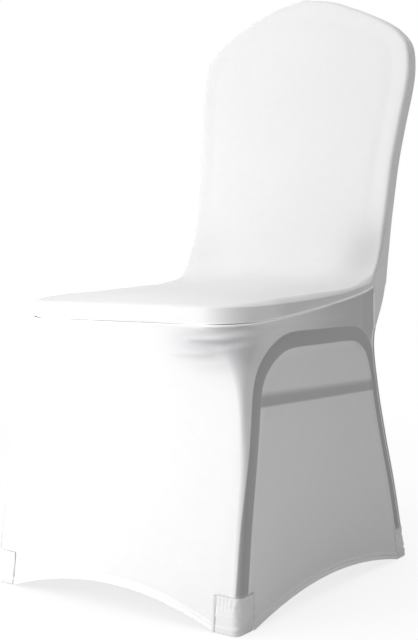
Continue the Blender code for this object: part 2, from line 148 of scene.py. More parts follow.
LAMP_SIZE = 1.3
LAMP_POWER = 32
lamp = bpy.data.lights.new("key", "AREA")
lamp.shape = "SQUARE"
lamp.size = LAMP_SIZE
lamp.energy = LAMP_POWER
key = new_object("key", lamp)
key.visible_camera = False
aim_from(key, (0.0, 0.0, 0.45), distance=2.0, azimuth=-32, elevation=10)

eye = new_object("camera", bpy.data.cameras.new("camera"))
aim_from(eye, (0.0, -0.0293, 0.411), distance=1.753, azimuth=35.4, elevation=2.58)
eye.data.sensor_width = 36.0
eye.data.lens = 62.5
eye.data.shift_x = -0.0033
eye.data.shift_y = -0.0161
scene.camera = eye


# Inside panel: the inside back and the seat, cut in one length of white stretch knit and pulled
# over the chair's padding.  It rolls over the padding's edge all round and is overlocked there to
# the outside back and the skirt, with the seam turned in.

MID_DEPTH = 0.0293            # depth of the row's middle in the tables below
SEAT_CORNER = 0.067
SEAT_CROWN = 0.015
BACK_CROWN = 0.004
MID_SEAT_ROW = 3              # rows of the table below
CORNER_ROW = 6
FOLD_ROW = 7
BACK_ROW = 8
UPRIGHT = 12
SHOULDER = 20

# Stations from the seat's front edge, over the seat and up the back to the top of the crown.
edges = np.array([
    # y_face  z_face  y_seam  z_seam  half    roll
    (-0.2220, 0.4265, -0.2220, 0.4025, 0.2050, 0.012),
    (-0.1550, 0.4325, -0.1550, 0.4070, 0.2052, 0.015),
    (-0.0800, 0.4345, -0.0800, 0.4130, 0.2048, 0.014),
    (0.0000, 0.4385, 0.0000, 0.4210, 0.2030, 0.013),
    (0.0900, 0.4440, 0.0900, 0.4315, 0.1985, 0.010),
    (0.1400, 0.4510, 0.1430, 0.4390, 0.1950, 0.006),
    (0.1740, 0.4610, 0.1810, 0.4475, 0.1925, 0.005),
    (0.1880, 0.4740, 0.1925, 0.4695, 0.1920, 0.004),
    (0.1980, 0.4900, 0.2030, 0.4880, 0.1920, 0.004),
    (0.2070, 0.5110, 0.2140, 0.5100, 0.1920, 0.005),
    (0.2138, 0.5300, 0.2225, 0.5295, 0.1915, 0.007),
    (0.2200, 0.5540, 0.2335, 0.5540, 0.1913, 0.006),
    (0.2275, 0.5880, 0.2445, 0.5880, 0.1921, 0.006),
    (0.2386, 0.6500, 0.2556, 0.6500, 0.1945, 0.006),
    (0.2509, 0.7100, 0.2679, 0.7100, 0.2003, 0.006),
    (0.2638, 0.7700, 0.2808, 0.7700, 0.2065, 0.006),
    (0.2700, 0.8000, 0.2870, 0.8000, 0.2085, 0.006),
    (0.2732, 0.8280, 0.2902, 0.8280, 0.2070, 0.006),
    (0.2742, 0.8450, 0.2912, 0.8450, 0.2035, 0.006),
    (0.2746, 0.8555, 0.2916, 0.8555, 0.1985, 0.006),
    (0.2749, 0.8625, 0.2919, 0.8625, 0.1930, 0.006),
    (0.2763, 0.9000, 0.2933, 0.9000, 0.1400, 0.006),
    (0.2778, 0.9460, 0.2948, 0.9460, 0.0000, 0.006),
])
Y_FACE, Z_FACE, Y_SEAM, Z_SEAM, HALF, ROLL = range(6)

crown = np.array([
    # x      z
    (0.000, 0.9460),
    (0.050, 0.9375),
    (0.100, 0.9190),
    (0.140, 0.9005),
    (0.160, 0.8895),
    (0.177, 0.8780),
    (0.187, 0.8690),
    (0.193, 0.8625),
])


def settled(xs, ys, spread, samples=1400):
    """A smooth line through a table's points, eased over `spread`; returned as a function."""
    widths = np.diff(xs)
    steps = np.diff(ys) / widths
    slopes = np.zeros(len(xs))
    slopes[0], slopes[-1] = steps[0], steps[-1]
    product = steps[:-1] * steps[1:]
    total = steps[:-1] + steps[1:]
    safe = np.where(product > 0, total, 1.0)
    slopes[1:-1] = np.where(product > 0, 2 * product / safe, 0.0)
    fine = np.linspace(xs[0], xs[-1], samples)
    i = np.clip(np.searchsorted(xs, fine, side="right") - 1, 0, len(xs) - 2)
    t = (fine - xs[i]) / widths[i]
    line = ((1 + 2 * t) * (1 - t) ** 2 * ys[i] + t * (1 - t) ** 2 * widths[i] * slopes[i]
            + t * t * (3 - 2 * t) * ys[i + 1] + t * t * (t - 1) * widths[i] * slopes[i + 1])
    reach = max(1, int(3 * spread / (fine[1] - fine[0])))
    before = 2 * line[0] - line[reach:0:-1]
    after = 2 * line[-1] - line[-2:-reach - 2:-1]
    weights = np.exp(-0.5 * (np.arange(-reach, reach + 1) * 3.0 / reach) ** 2)
    eased = np.convolve(np.concatenate([before, line, after]), weights / weights.sum(), "valid")

    def read(at):
        return np.interp(at, fine, eased)

    return read


run_stations = np.concatenate([[0.0], np.cumsum(np.hypot(*np.diff(edges[:, :2], axis=0).T))])
EASE = 0.007
face_y = settled(run_stations, edges[:, Y_FACE], EASE)
face_z = settled(run_stations, edges[:, Z_FACE], EASE)
seam_y_at = settled(run_stations, edges[:, Y_SEAM], EASE)
seam_z_at = settled(run_stations, edges[:, Z_SEAM], EASE)
half_at = settled(run_stations[:SHOULDER + 1], edges[:SHOULDER + 1, HALF], EASE / 2)
roll_at = settled(run_stations, edges[:, ROLL], EASE)
run_at_height = settled(edges[UPRIGHT:, Z_FACE], run_stations[UPRIGHT:], EASE / 4)
crown_line = settled(crown[:, 0], crown[:, 1], EASE / 4)
SHOULDER_HALF = edges[SHOULDER, HALF]
SHOULDER_RUN = run_stations[SHOULDER]


def face_point(x, run):
    """Points of the stretched face, with the padding's crown under it."""
    step = 0.004
    dy = face_y(run + step) - face_y(run - step)
    dz = face_z(run + step) - face_z(run - step)
    length = np.hypot(dy, dz)
    half = np.maximum(half_at(run), SHOULDER_HALF)
    across = np.clip(1.0 - (x / half) ** 2, 0.0, 1.0)
    seat = np.sin(np.pi * np.clip(run / run_stations[FOLD_ROW], 0.0, 1.0)) ** 0.7
    back_run = run_stations[BACK_ROW]
    rise = np.clip((run - back_run) / (SHOULDER_RUN - back_run), 0.0, 1.0)
    lift = across * (SEAT_CROWN * seat + BACK_CROWN * np.sin(np.pi * rise))
    return np.stack([x, face_y(run) - lift * dz / length, face_z(run) + lift * dy / length], -1)


def panel_outline(across, along):
    """Edge of the panel laid flat, as four runs of (x, run): front, right, top, left."""
    flat = edges[0, HALF] - SEAT_CORNER
    eighth = SEAT_CORNER * math.pi / 4
    a = np.linspace(-1.0, 1.0, across + 1)
    s = np.abs(a) * (flat + eighth)
    turn = np.clip((s - flat) / SEAT_CORNER, 0.0, None)
    x = np.where(s <= flat, s, flat + SEAT_CORNER * np.sin(turn))
    front = np.stack([np.sign(a) * x, SEAT_CORNER * (1 - np.cos(turn))], -1)
    s = np.linspace(0.0, eighth + SHOULDER_RUN - SEAT_CORNER, along + 1)
    turn = np.clip(math.pi / 4 + s / SEAT_CORNER, 0.0, math.pi / 2)
    run = np.where(s <= eighth, SEAT_CORNER * (1 - np.cos(turn)), SEAT_CORNER + s - eighth)
    x = np.where(s <= eighth, flat + SEAT_CORNER * np.sin(turn), half_at(run))
    right = np.stack([x, run], -1)
    x = a * SHOULDER_HALF
    top = np.stack([x, run_at_height(crown_line(np.abs(x)))], -1)
    return front, right, top, right * (-1.0, 1.0)


def one_loop(front, right, top, left):
    """The four runs as one anticlockwise loop, each corner once."""
    return np.concatenate([front, right[1:-1], top[::-1], left[-2:0:-1]])


def outward(loop):
    """Unit normals pointing out of an anticlockwise loop."""
    ahead = np.roll(loop, -1, axis=0) - np.roll(loop, 1, axis=0)
    normals = np.stack([ahead[:, 1], -ahead[:, 0]], -1)
    return normals / np.linalg.norm(normals, axis=1, keepdims=True)


def fill_patch(loop, across, along):
    """Rows of points blended smoothly between the four edges of a loop."""
    front = loop[:across + 1]
    right = loop[across:across + along + 1]
    top = loop[across + along:2 * across + along + 1][::-1]
    left = np.concatenate([loop[:1], loop[2 * across + along:][::-1]])
    a = np.linspace(0.0, 1.0, across + 1)[None, :, None]
    b = np.linspace(0.0, 1.0, along + 1)[:, None, None]
    lines = front[None] * (1 - b) + top[None] * b + left[:, None] * (1 - a) + right[:, None] * a
    corners = ((front[0] * (1 - a) + front[-1] * a) * (1 - b)
               + (top[0] * (1 - a) + top[-1] * a) * b)
    return lines - corners


def patch_rim(across, along):
    """Vertex numbers round the edge of a filled patch, anticlockwise from the front left."""
    width = across + 1
    rim = list(range(width))
    rim += [j * width + across for j in range(1, along)]
    rim += [along * width + i for i in range(across, -1, -1)]
    rim += [j * width for j in range(along - 1, 0, -1)]
    return np.array(rim)


def grid_faces(rows, columns, keep=None):
    """Quads of a grid stored row by row; keep(row, column) leaves some out."""
    row, col = np.meshgrid(np.arange(rows - 1), np.arange(columns - 1), indexing="ij")
    first = (row * columns + col).ravel()
    quads = np.stack([first, first + 1, first + columns + 1, first + columns], -1)
    return quads if keep is None else quads[keep(row, col).ravel()]


def vertex_normals(points, quads):
    """Area-weighted normals of a quad mesh."""
    a, b, c, d = (points[quads[:, k]] for k in range(4))
    face = np.cross(c - a, d - b)
    normals = np.zeros_like(points)
    for k in range(4):
        np.add.at(normals, quads[:, k], face)
    length = np.linalg.norm(normals, axis=1, keepdims=True)
    return normals / np.maximum(length, 1e-12)


def line_distance(points, path):
    """Distance of each point to a path of straight stretches, in any number of dimensions."""
    path = np.asarray(path, float)
    best = np.full(len(points), 9.0)
    for start, end in zip(path[:-1], path[1:]):
        along = end - start
        share = np.clip((points - start) @ along / (along @ along), 0.0, 1.0)
        best = np.minimum(best, np.linalg.norm(points - start - share[:, None] * along, axis=1))
    return best


def swell(at, middle, width):
    """1 at the middle, falling away smoothly to 0 on both sides of it."""
    return np.exp(-((at - middle) / width) ** 2)


def soft_fold(points, path, width, height):
    """Height of a soft ridge (or trough, if negative) that runs along a path and fades at its ends."""
    path = np.asarray(path, float)
    middle = path.mean(axis=0)
    reach = max(np.linalg.norm(path - middle, axis=1))
    fade = np.clip(1.25 - np.linalg.norm(points - middle, axis=1) / reach, 0.0, 1.0) ** 0.7
    return height * fade * swell(line_distance(points, path), 0.0, width)


def folds_both_sides(points, folds):
    """Relief of a table of straight folds on the right side, and the same on the left."""
    relief = np.zeros(len(points))
    for side in (-1, 1):
        for start, end, width, height in folds:
            path = [(side * start[0], *start[1:]), (side * end[0], *end[1:])]
            relief += soft_fold(points, path, width, height)
    return relief


def step_up(low, high, at):
    """0 below low, 1 above high, and a smooth rise between."""
    t = np.clip((at - low) / (high - low), 0.0, 1.0)
    return t * t * (3 - 2 * t)


FAR_OFF = 1.0                 # stands for a distance to an edge that a point has nothing to do with


def seam_lip(gap):
    """1 on the doubled allowance beside a seam, 0 away from it; its whiter tone is also a painted highlight
    along the seam.
    """
    return 1 - step_up(0.0010, 0.0022, gap)


def new_group(name, kind, inputs, outputs):
    """A node group with its named sockets: its tree, what it is given and what it returns."""
    tree = bpy.data.node_groups.new(name, kind)
    for in_out, sockets in (("INPUT", inputs), ("OUTPUT", outputs)):
        for label, socket_type, *usual in sockets:
            socket = tree.interface.new_socket(label, in_out=in_out, socket_type="NodeSocket" + socket_type)
            if usual:
                socket.default_value = usual[0]
    return tree, tree.nodes.new("NodeGroupInput").outputs, tree.nodes.new("NodeGroupOutput")


def mix_colours(tree, share, first, second):
    """A colour between two."""
    inputs = {"Factor": share, "A": first, "B": second}
    return add_node(tree, "ShaderNodeMix", inputs, data_type="RGBA").outputs["Result"]


RIB_SHARE = 0.6               # how much of the loops' height is in the ribs, the rest in the slant
MOTTLE = (70.0, 4.0)          # scale and detail
UNEVENNESS = (14.0, 3.0)


def knit_group():
    """Warp-knit surface from a flat cloth coordinate in metres: loops, mottle and unevenness."""
    tree, given, result = new_group(
        "stretch_knit_surface", "ShaderNodeTree",
        (("Cloth", "Vector"), ("Wale pitch", "Float", 0.0009), ("Course pitch", "Float", 0.0007)),
        (("Loops", "Float"), ("Mottle", "Float"), ("Unevenness", "Float")))
    at = add_node(tree, "ShaderNodeSeparateXYZ", {0: given["Cloth"]}).outputs
    wale, course = (maths(tree, "MULTIPLY", maths(tree, "DIVIDE", at[axis], given[pitch]), math.pi)
                    for axis, pitch in (("X", "Wale pitch"), ("Y", "Course pitch")))
    slant = maths(tree, "ADD", course, maths(tree, "MULTIPLY", wale, 0.5))
    rib, bar = (maths(tree, "MULTIPLY", maths(tree, "ABSOLUTE", maths(tree, "SINE", angle)), height)
                for angle, height in ((wale, RIB_SHARE), (slant, 1 - RIB_SHARE)))
    wire(tree, result, {"Loops": maths(tree, "ADD", rib, bar)})
    for label, (scale, detail) in (("Mottle", MOTTLE), ("Unevenness", UNEVENNESS)):
        noise = add_node(tree, "ShaderNodeTexNoise",
                         {"Vector": given["Cloth"], "Scale": scale, "Detail": detail})
        wire(tree, result, {label: noise.outputs["Fac"]})
    return tree


knit_surface = knit_group()

# The tones that a cloth carries as attributes, each with its value where a piece doesn't give it.
TONES = {
    "frame_gap": 1.0,         # distance to the frame's tube beneath, below 0 over it
    "bar_over": 0.0,          # height over the cross bar behind the cloth
    "bar_beside": 0.0,        # 1 between the legs, where that bar can show
    "dim": 0.0,               # share of the greyer tone: painted shade, and on the skirt also the seat's frame showing through
    "doubled": 0.0,           # share of the whiter tone of two thicknesses, beside a seam also a painted highlight
}
TUBE_EDGE = (-0.0012, 0.0012)
BAR_UPPER = (0.017, 0.003)
BAR_LOWER = (-0.0095, -0.0050)
BAR_STRENGTH = 0.85
DOUBLED_AND_HIGHLIGHT_WHITE = (0.92, 0.92, 0.925, 1.0)
KNIT_SHEEN = {"Sheen Weight": 0.35, "Sheen Roughness": 0.45, "Specular IOR Level": 0.35}
ROUGHNESS_SPREAD = 0.08


def knit_cloth(name, colour, see_through_and_shade, roughness, loop_depth):
    """White stretch knit, through which the dark frame shows as the cloth's tones say; the tones also paint
    shade and a seam highlight on it.
    """
    paint, tree, shader = new_paint(name)
    cloth = add_node(tree, "ShaderNodeUVMap", uv_map="cloth").outputs["UV"]
    knit = add_node(tree, "ShaderNodeGroup", {"Cloth": cloth}, node_tree=knit_surface).outputs
    gap, bar, beside, dim, doubled = (
        add_node(tree, "ShaderNodeAttribute", attribute_name=tone).outputs["Fac"] for tone in TONES)
    over_tube = map_range(tree, gap, TUBE_EDGE, (1.0, 0.0))
    over_bar = maths(tree, "MULTIPLY", map_range(tree, bar, BAR_UPPER, (0.0, 1.0)),
                     map_range(tree, bar, BAR_LOWER, (0.0, BAR_STRENGTH)))
    over_bar = maths(tree, "MULTIPLY", over_bar, beside)
    # Greyer over the frame's tubes and bar, and where shade is painted.
    darker = maths(tree, "MAXIMUM", over_tube, maths(tree, "MAXIMUM", over_bar, dim))
    tint = mix_colours(tree, darker, (*colour, 1.0), (*see_through_and_shade, 1.0))
    tint = mix_colours(tree, doubled, tint, DOUBLED_AND_HIGHLIGHT_WHITE)
    mottle = map_range(tree, knit["Mottle"], (0.0, 1.0), (0.975, 1.02), "LINEAR")
    tint = add_node(tree, "ShaderNodeVectorMath", {0: tint, "Scale": mottle}, operation="SCALE")
    rough = map_range(tree, knit["Unevenness"], (0.0, 1.0),
                      (roughness - ROUGHNESS_SPREAD, roughness + ROUGHNESS_SPREAD), "LINEAR")
    pull = add_node(tree, "ShaderNodeBump",
                    {"Height": knit["Unevenness"], "Distance": 0.0008, "Strength": 0.35})
    loops = add_node(tree, "ShaderNodeBump",
                     {"Height": knit["Loops"], "Distance": loop_depth, "Strength": 0.6,
                      "Normal": pull.outputs["Normal"]})
    wire(tree, shader, {"Base Color": tint.outputs["Vector"], "Roughness": rough,
                        "Normal": loops.outputs["Normal"], **KNIT_SHEEN})
    return paint


knit_white = knit_cloth("stretch_knit", (0.700, 0.700, 0.708), (0.335, 0.337, 0.345), 0.62, 0.00010)


def cloth_piece(name, node, slot, points, quads, flat, paint, wall, **tones):
    """A mesh of the outer face, with its flat cloth coordinate and its tones, given a wall."""
    mesh = bpy.data.meshes.new(name)
    mesh.from_pydata((points - (0.0, MID_DEPTH, 0.0)).tolist(), [], quads.tolist())
    layer = mesh.uv_layers.new(name="cloth")
    corners = np.zeros(len(mesh.loops), int)
    mesh.loops.foreach_get("vertex_index", corners)
    layer.data.foreach_set("uv", np.ascontiguousarray(flat[corners], dtype=np.float32).ravel())
    for tone, unset in TONES.items():
        layer = mesh.attributes.new(tone, "FLOAT", "POINT")
        layer.data.foreach_set("value", np.ones(len(points), np.float32) * np.float32(tones.get(tone, unset)))
    work = bmesh.new()
    work.from_mesh(mesh)
    unused = [corner for corner in work.verts if not corner.link_faces]
    bmesh.ops.delete(work, geom=unused, context="VERTS")
    work.to_mesh(mesh)
    work.free()
    mesh.shade_smooth()
    mesh.materials.append(paint)
    piece = new_object(name, mesh)
    thick = piece.modifiers.new("wall", "SOLIDIFY")
    thick.thickness = wall
    thick.offset = -1.0
    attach(piece, "root")
    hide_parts(node)
    return piece


KNIT_WALL = 0.0011
SEAM_TUCK = 0.00003
PANEL_ACROSS = 96
PANEL_ALONG = 230
PANEL_ROLL = 12
PANEL_WALL = (0.04, 0.10, 0.22, 0.40, 0.58, 0.73, 0.84, 0.91, 0.95, 0.98, 1.0)
SEAT_TO_BACK = (0.36, 0.46)   # runs where the seat's crease gives way to the back's full roll
LEAST_DROP = 0.002
# The upright border between the seat's crease and its seam, and how far the top has turned down there.
border_table = np.array([
    # run    height  turn in degrees
    (0.000, 0.0220, 34.0),
    (0.067, 0.0205, 32.0),
    (0.142, 0.0168, 30.0),
    (0.222, 0.0128, 32.0),
    (0.310, 0.0090, 40.0),
])

loop = one_loop(*panel_outline(PANEL_ACROSS, PANEL_ALONG))
normals = outward(loop)
down = np.stack([seam_y_at(loop[:, 1]) - face_y(loop[:, 1]),
                 seam_z_at(loop[:, 1]) - face_z(loop[:, 1])], -1)
depth = np.linalg.norm(down, axis=1)
down = down / depth[:, None]
upright = step_up(*SEAT_TO_BACK, loop[:, 1])
border = np.interp(loop[:, 1], border_table[:, 0], border_table[:, 1])
crease_turn = np.radians(np.interp(loop[:, 1], border_table[:, 0], border_table[:, 2]))
bend = crease_turn + (math.pi / 2 - crease_turn) * upright
seat_radius = np.clip(depth - border, LEAST_DROP, None) / (1 - np.cos(crease_turn))
rolls = roll_at(loop[:, 1]) * upright + seat_radius * np.sin(crease_turn) * (1 - upright)
radius = rolls / np.sin(bend)
inset = loop - rolls[:, None] * normals
laid = fill_patch(inset, PANEL_ACROSS, PANEL_ALONG).reshape(-1, 2)
points = [face_point(laid[:, 0], laid[:, 1])]
flat = [laid]
quads = [grid_faces(PANEL_ALONG + 1, PANEL_ACROSS + 1)]
rim = patch_rim(PANEL_ACROSS, PANEL_ALONG)
count = len(laid)
edge_depth = [np.full(count, FAR_OFF)]
for step in range(1, PANEL_ROLL + len(PANEL_WALL) + 1):
    turn = min(step / PANEL_ROLL, 1.0) * bend
    back = rolls - radius * np.sin(turn)
    sunk = radius * (1 - np.cos(turn))
    travelled = radius * turn
    if step > PANEL_ROLL:
        sunk = sunk + (depth - SEAM_TUCK - sunk) * PANEL_WALL[step - PANEL_ROLL - 1]
        travelled = travelled + sunk
    ring = face_point(loop[:, 0] - back * normals[:, 0], loop[:, 1] - back * normals[:, 1])
    ring[:, 1:] += down * sunk[:, None]
    points.append(ring)
    flat.append(inset + normals * travelled[:, None])
    edge_depth.append(depth - sunk)
    new = count + np.arange(len(loop))
    quads.append(np.stack([np.roll(rim, -1), rim, new, np.roll(new, -1)], -1))
    rim = new
    count += len(loop)
points, flat, quads, to_seam = (np.concatenate(parts) for parts in (points, flat, quads, edge_depth))

# The frame's tube stands proud round the back, inside it the cloth dips and the pad rises again.
edge_gap = np.zeros(len(points))
for part in np.array_split(np.arange(len(laid)), 40):
    away = np.linalg.norm(laid[part][:, None] - inset[None, ::2], axis=2)
    edge_gap[part] = away.min(axis=1)
on_back = step_up(0.52, 0.60, points[:, 2])
relief = on_back * (0.0005 * swell(edge_gap, 0.004, 0.009) - 0.0006 * swell(edge_gap, 0.024, 0.009))
relief -= 0.0003 * swell(to_seam, 0.0, 0.0005)
# Soft pulls where the cloth bridges from the seat up into the back.
seat_pulls = (
    # start, end, width, height
    ((0.172, 0.120, 0.452), (0.120, 0.200, 0.490), 0.007, 0.0011),
    ((0.150, 0.105, 0.453), (0.085, 0.195, 0.485), 0.008, -0.0009),
    ((0.176, 0.175, 0.470), (0.150, 0.218, 0.560), 0.006, 0.0009),
)
relief += folds_both_sides(points, seat_pulls)
points = points + relief[:, None] * vertex_normals(points, quads)
# The seam's edge is whitened: the doubled allowance, and a painted highlight that fades out up the back.
doubled = seam_lip(to_seam) * (1 - step_up(0.56, 0.62, points[:, 2]))
# Painted shade greys the cloth on the seat's upright border along the sides, and low on the inside back,
# more so on the right.
BORDER_SHADE = 0.24
LOW_BACK_SHADE = 0.42
LEFT_SHARE = 0.3
on_side = step_up(0.080, 0.120, flat[:, 1]) * (1 - step_up(0.33, 0.40, flat[:, 1]))
on_border = (to_seam < FAR_OFF / 2) * on_side
low_back = swell(np.abs(points[:, 0]), 0.168, 0.045) * swell(points[:, 2], 0.500, 0.048)
dim = BORDER_SHADE * on_border + LOW_BACK_SHADE * low_back * np.where(points[:, 0] > 0, 1.0, LEFT_SHARE)
inside = cloth_piece("inside_panel_knit", "inside_panel", "stretch_knit", points, quads, flat,
                     knit_white, KNIT_WALL, dim=dim, doubled=doubled)


# Skirt: one length of the same knit that wraps the front and both sides and closes in a seam up
# each rear leg.  It is stretched between the seat seam and the four foot pockets, so it lies on
# the chair's tubes, draws in between them, and hangs clear of the floor in an arched hem.

SEAM_CORNER_Y = 0.1840
SEAM_BACKSET = 0.017
WAIST = 0.352
POCKET_TOP = 0.050
NOTCH = 0.0376
HEM_FOOT = 0.001
FRONT_ARCH = 0.033
SIDE_ARCH = 0.027

# Front corners from the floor up, with the bow of each side's middle: plus is outwards.
fronts = np.array([
    # z      y        half    corner side    front
    (0.000, -0.2534, 0.2230, 0.011, -0.002, -0.003),
    (0.050, -0.2494, 0.2210, 0.011, -0.003, -0.004),
    (0.120, -0.2400, 0.2185, 0.011, -0.004, -0.005),
    (0.240, -0.2250, 0.2150, 0.009, -0.004, -0.004),
    (0.300, -0.2215, 0.2110, 0.011, -0.002, -0.002),
    (0.360, -0.2218, 0.2068, 0.027, 0.001, 0.001),
    (0.405, -0.2220, 0.2050, 0.067, 0.003, 0.003),
    (0.450, -0.2220, 0.2050, 0.067, 0.003, 0.003),
])
# Rear of the cover from the floor up: splayed legs, waist under the seat, back.
rears = np.array([
    # z      y       half
    (0.000, 0.2500, 0.2235),
    (0.050, 0.2420, 0.2190),
    (0.119, 0.2310, 0.2130),
    (0.210, 0.2105, 0.2050),
    (0.290, 0.1975, 0.1975),
    (0.352, 0.1930, 0.1925),
    (0.375, 0.1965, 0.1920),
    (0.392, 0.2060, 0.1920),
    (0.424, 0.2243, 0.1920),
    (0.456, 0.2345, 0.1920),
    (0.500, 0.2425, 0.1920),
    (0.560, 0.2560, 0.1913),
    (0.620, 0.2675, 0.1931),
    (0.710, 0.2850, 0.2003),
    (0.800, 0.3040, 0.2085),
    (0.862, 0.3090, 0.1931),
    (0.900, 0.3105, 0.1400),
    (0.946, 0.3120, 0.0000),
])
FRONT_EASE = 0.012            # the length over which a table's corners are rounded off
front_y, front_half, front_corner, side_bow, front_bow = (
    settled(fronts[:, 0], fronts[:, k], FRONT_EASE) for k in range(1, 6))
rear_y = settled(rears[:, 0], rears[:, 1], EASE)
REAR_SHOULDER = 16
rear_half = settled(rears[:REAR_SHOULDER, 0], rears[:REAR_SHOULDER, 2], EASE / 2)
seat_seam_z = settled(edges[:CORNER_ROW + 1, Y_SEAM], edges[:CORNER_ROW + 1, Z_SEAM], EASE)
back_seam_y = settled(edges[CORNER_ROW:, Z_SEAM], edges[CORNER_ROW:, Y_SEAM], EASE)
back_half = settled(edges[CORNER_ROW:SHOULDER + 1, Z_SEAM], edges[CORNER_ROW:SHOULDER + 1, HALF], EASE / 2)
CORNER_Y, CORNER_Z = edges[CORNER_ROW, Y_SEAM], edges[CORNER_ROW, Z_SEAM]


def seam_up_y(z):
    """Depth of the seam up the side, above the waist and then up the back."""
    share = (z - WAIST) / (CORNER_Z - WAIST)
    low = SEAM_CORNER_Y + (CORNER_Y - SEAM_CORNER_Y) * share
    return np.where(z < CORNER_Z, low, back_seam_y(np.maximum(z, CORNER_Z)))


def leg_seam_y(z):
    """Depth of the seam up the rear leg and past the waist."""
    on_leg = rear_y(z) - SEAM_BACKSET
    return np.where(z > WAIST, np.minimum(on_leg, seam_up_y(z)), on_leg)


SIDE, ROUND, FACE = 0, 1, 2


def skirt_xyu(part, share, z):
    """Right half of the skirt at height z: x, y, and y measured round the corner as if unrolled."""
    corner, half, front = front_corner(z), front_half(z), front_y(z)
    start = leg_seam_y(z)
    side_y = start + (front + corner - start) * share
    side_x = rear_half(z) + (half - rear_half(z)) * share + side_bow(z) * 4 * share * (1 - share)
    turn = share * math.pi / 2
    round_x = half - corner * (1 - np.cos(turn))
    round_y = front + corner * (1 - np.sin(turn))
    face_x = (half - corner) * (1 - share)
    face_at = front - front_bow(z) * share * (2 - share)
    x = np.where(part == SIDE, side_x, np.where(part == ROUND, round_x, face_x))
    y = np.where(part == SIDE, side_y, np.where(part == ROUND, round_y, face_at))
    unrolled = np.where(part == SIDE, side_y,
                        front + corner - corner * np.where(part == ROUND, turn, math.pi / 2)
                        - np.where(part == FACE, (half - corner) * share, 0.0))
    return x, y, unrolled


def arch(share, height):
    """Height of a hem that arches between two pockets."""
    return HEM_FOOT + (height - HEM_FOOT) * 4 * share * (1 - share)


def seam_roll(gap, radius=0.0012):
    """How far a cloth's edge turns in as it comes up to a seam, at a distance from the seam."""
    short = np.clip(1 - gap / radius, 0.0, 1.0)
    return radius * (1 - np.sqrt(1 - short ** 2))


def seam_ridge(gap, height, away=0.0022):
    """The low welt that the turned-in allowance raises beside a seam."""
    return height * swell(gap, away, 0.0011)


HEM_STEPS = np.array([0.0, 0.0004, 0.001, 0.002, 0.0042, 0.0054, 0.0062, 0.0070, 0.0086, 0.0094, 0.0100,
                      0.0106, 0.0113, 0.0120])
HEM_ROWS_ABOVE = 9
LOWER_ROWS = 46
UPPER_ROWS = 34               # closer together under the seam, where the cloth folds
LOWER_SHARE = 0.78
NEAR_LEDGE = np.array([0.0003, 0.0007, 0.0013, 0.0022])
NEAR_SEAM = np.array([0.0038, 0.0028, 0.0020, 0.0014, 0.0009, 0.0005, 0.0002, 0.0])
SEAM_CLEAR = 0.00003


def skirt_heights(hem, top):
    """Heights of the rows over each column: hem rows, rows to the pocket's top, wall, seam edge."""
    first = hem[None] + HEM_STEPS[:, None]
    ledge = POCKET_TOP + SEAM_CLEAR
    t = np.arange(1, HEM_ROWS_ABOVE + 1)[:, None] / HEM_ROWS_ABOVE
    second = first[-1:] + (ledge - first[-1:]) * t
    near = top[None] - SEAM_CLEAR - NEAR_SEAM[:, None]
    ledge_rise = np.repeat(NEAR_LEDGE[:, None] + ledge, len(top), axis=1)
    low = LOWER_SHARE * np.arange(1, LOWER_ROWS + 1) / LOWER_ROWS
    high = LOWER_SHARE + (1 - LOWER_SHARE) * np.arange(1, UPPER_ROWS) / UPPER_ROWS
    t = np.concatenate([low, high])[:, None]
    third = ledge_rise[-1:] + (near[:1] - ledge_rise[-1:]) * t
    return np.concatenate([first, second, ledge_rise, third, near])


LEDGE_ROW = len(HEM_STEPS) + HEM_ROWS_ABOVE - 1
LEDGE_STITCHES = LEDGE_ROW + len(NEAR_LEDGE)
STITCH_ROWS = (6, 10)         # rows of the grid that lie under the hem's two rows of stitches
HEM_DEPTH = 0.0113            # the hem is turned up this far and stitched down
HEM_WHITE = 0.34              # two thicknesses of cloth show whiter than one
POCKET_EDGE = 0.0004          # radius of the cloth's edge where a pocket is sewn in
LEG_WELT = 0.0003
UNDER_POCKET = 0.05           # takes a point this far from the frame where a pocket hides it


def hem_band(gap):
    """The doubled hem stands proud, and each row of stitches draws a groove into it."""
    band = 0.0010 * (1 - step_up(HEM_DEPTH - 0.0005, HEM_DEPTH + 0.0005, gap))
    for row in STITCH_ROWS:
        band = band - 0.0007 * swell(gap, HEM_STEPS[row], 0.0007)
    return band


STITCH_PITCH = 0.0030
STITCH_LENGTH = 0.0024
THREAD_RADIUS = 0.00028
HALF_THREAD = THREAD_RADIUS / 2         # the thread sinks half-way into the cloth
THREAD_TONES = ((0.66, 0.66, 0.67, 1.0), (0.80, 0.80, 0.81, 1.0))
THREAD_ROUGHNESS = (0.55, 0.42)


def stitch_tree():
    """One rounded bar of thread at every step along the paths of a mesh."""
    tree, given, result = new_group(
        "stitches_along_path", "GeometryNodeTree",
        (("Paths", "Geometry"), ("Stitch pitch", "Float"), ("Stitch length", "Float"),
         ("Thread radius", "Float"), ("Thread", "Material")),
        (("Stitches", "Geometry"),))
    paths = add_node(tree, "GeometryNodeMeshToCurve", {"Mesh": given["Paths"]})
    steps = add_node(tree, "GeometryNodeCurveToPoints", mode="LENGTH")
    wire(tree, steps, {"Curve": paths.outputs["Curve"], "Length": given["Stitch pitch"]})
    bar = add_node(tree, "GeometryNodeMeshUVSphere", {"Segments": 6, "Rings": 4})
    size = add_node(tree, "ShaderNodeCombineXYZ",
                    {"X": given["Thread radius"], "Y": given["Thread radius"],
                     "Z": maths(tree, "MULTIPLY", given["Stitch length"], 0.5)})
    put = add_node(tree, "GeometryNodeInstanceOnPoints",
                   {"Points": steps.outputs["Points"], "Rotation": steps.outputs["Rotation"],
                    "Instance": bar.outputs["Mesh"], "Scale": size.outputs["Vector"]})
    real = add_node(tree, "GeometryNodeRealizeInstances", {"Geometry": put.outputs["Instances"]})
    sewn = add_node(tree, "GeometryNodeSetMaterial",
                    {"Geometry": real.outputs["Geometry"], "Material": given["Thread"]})
    wire(tree, result, {"Stitches": sewn.outputs["Geometry"]})
    return tree


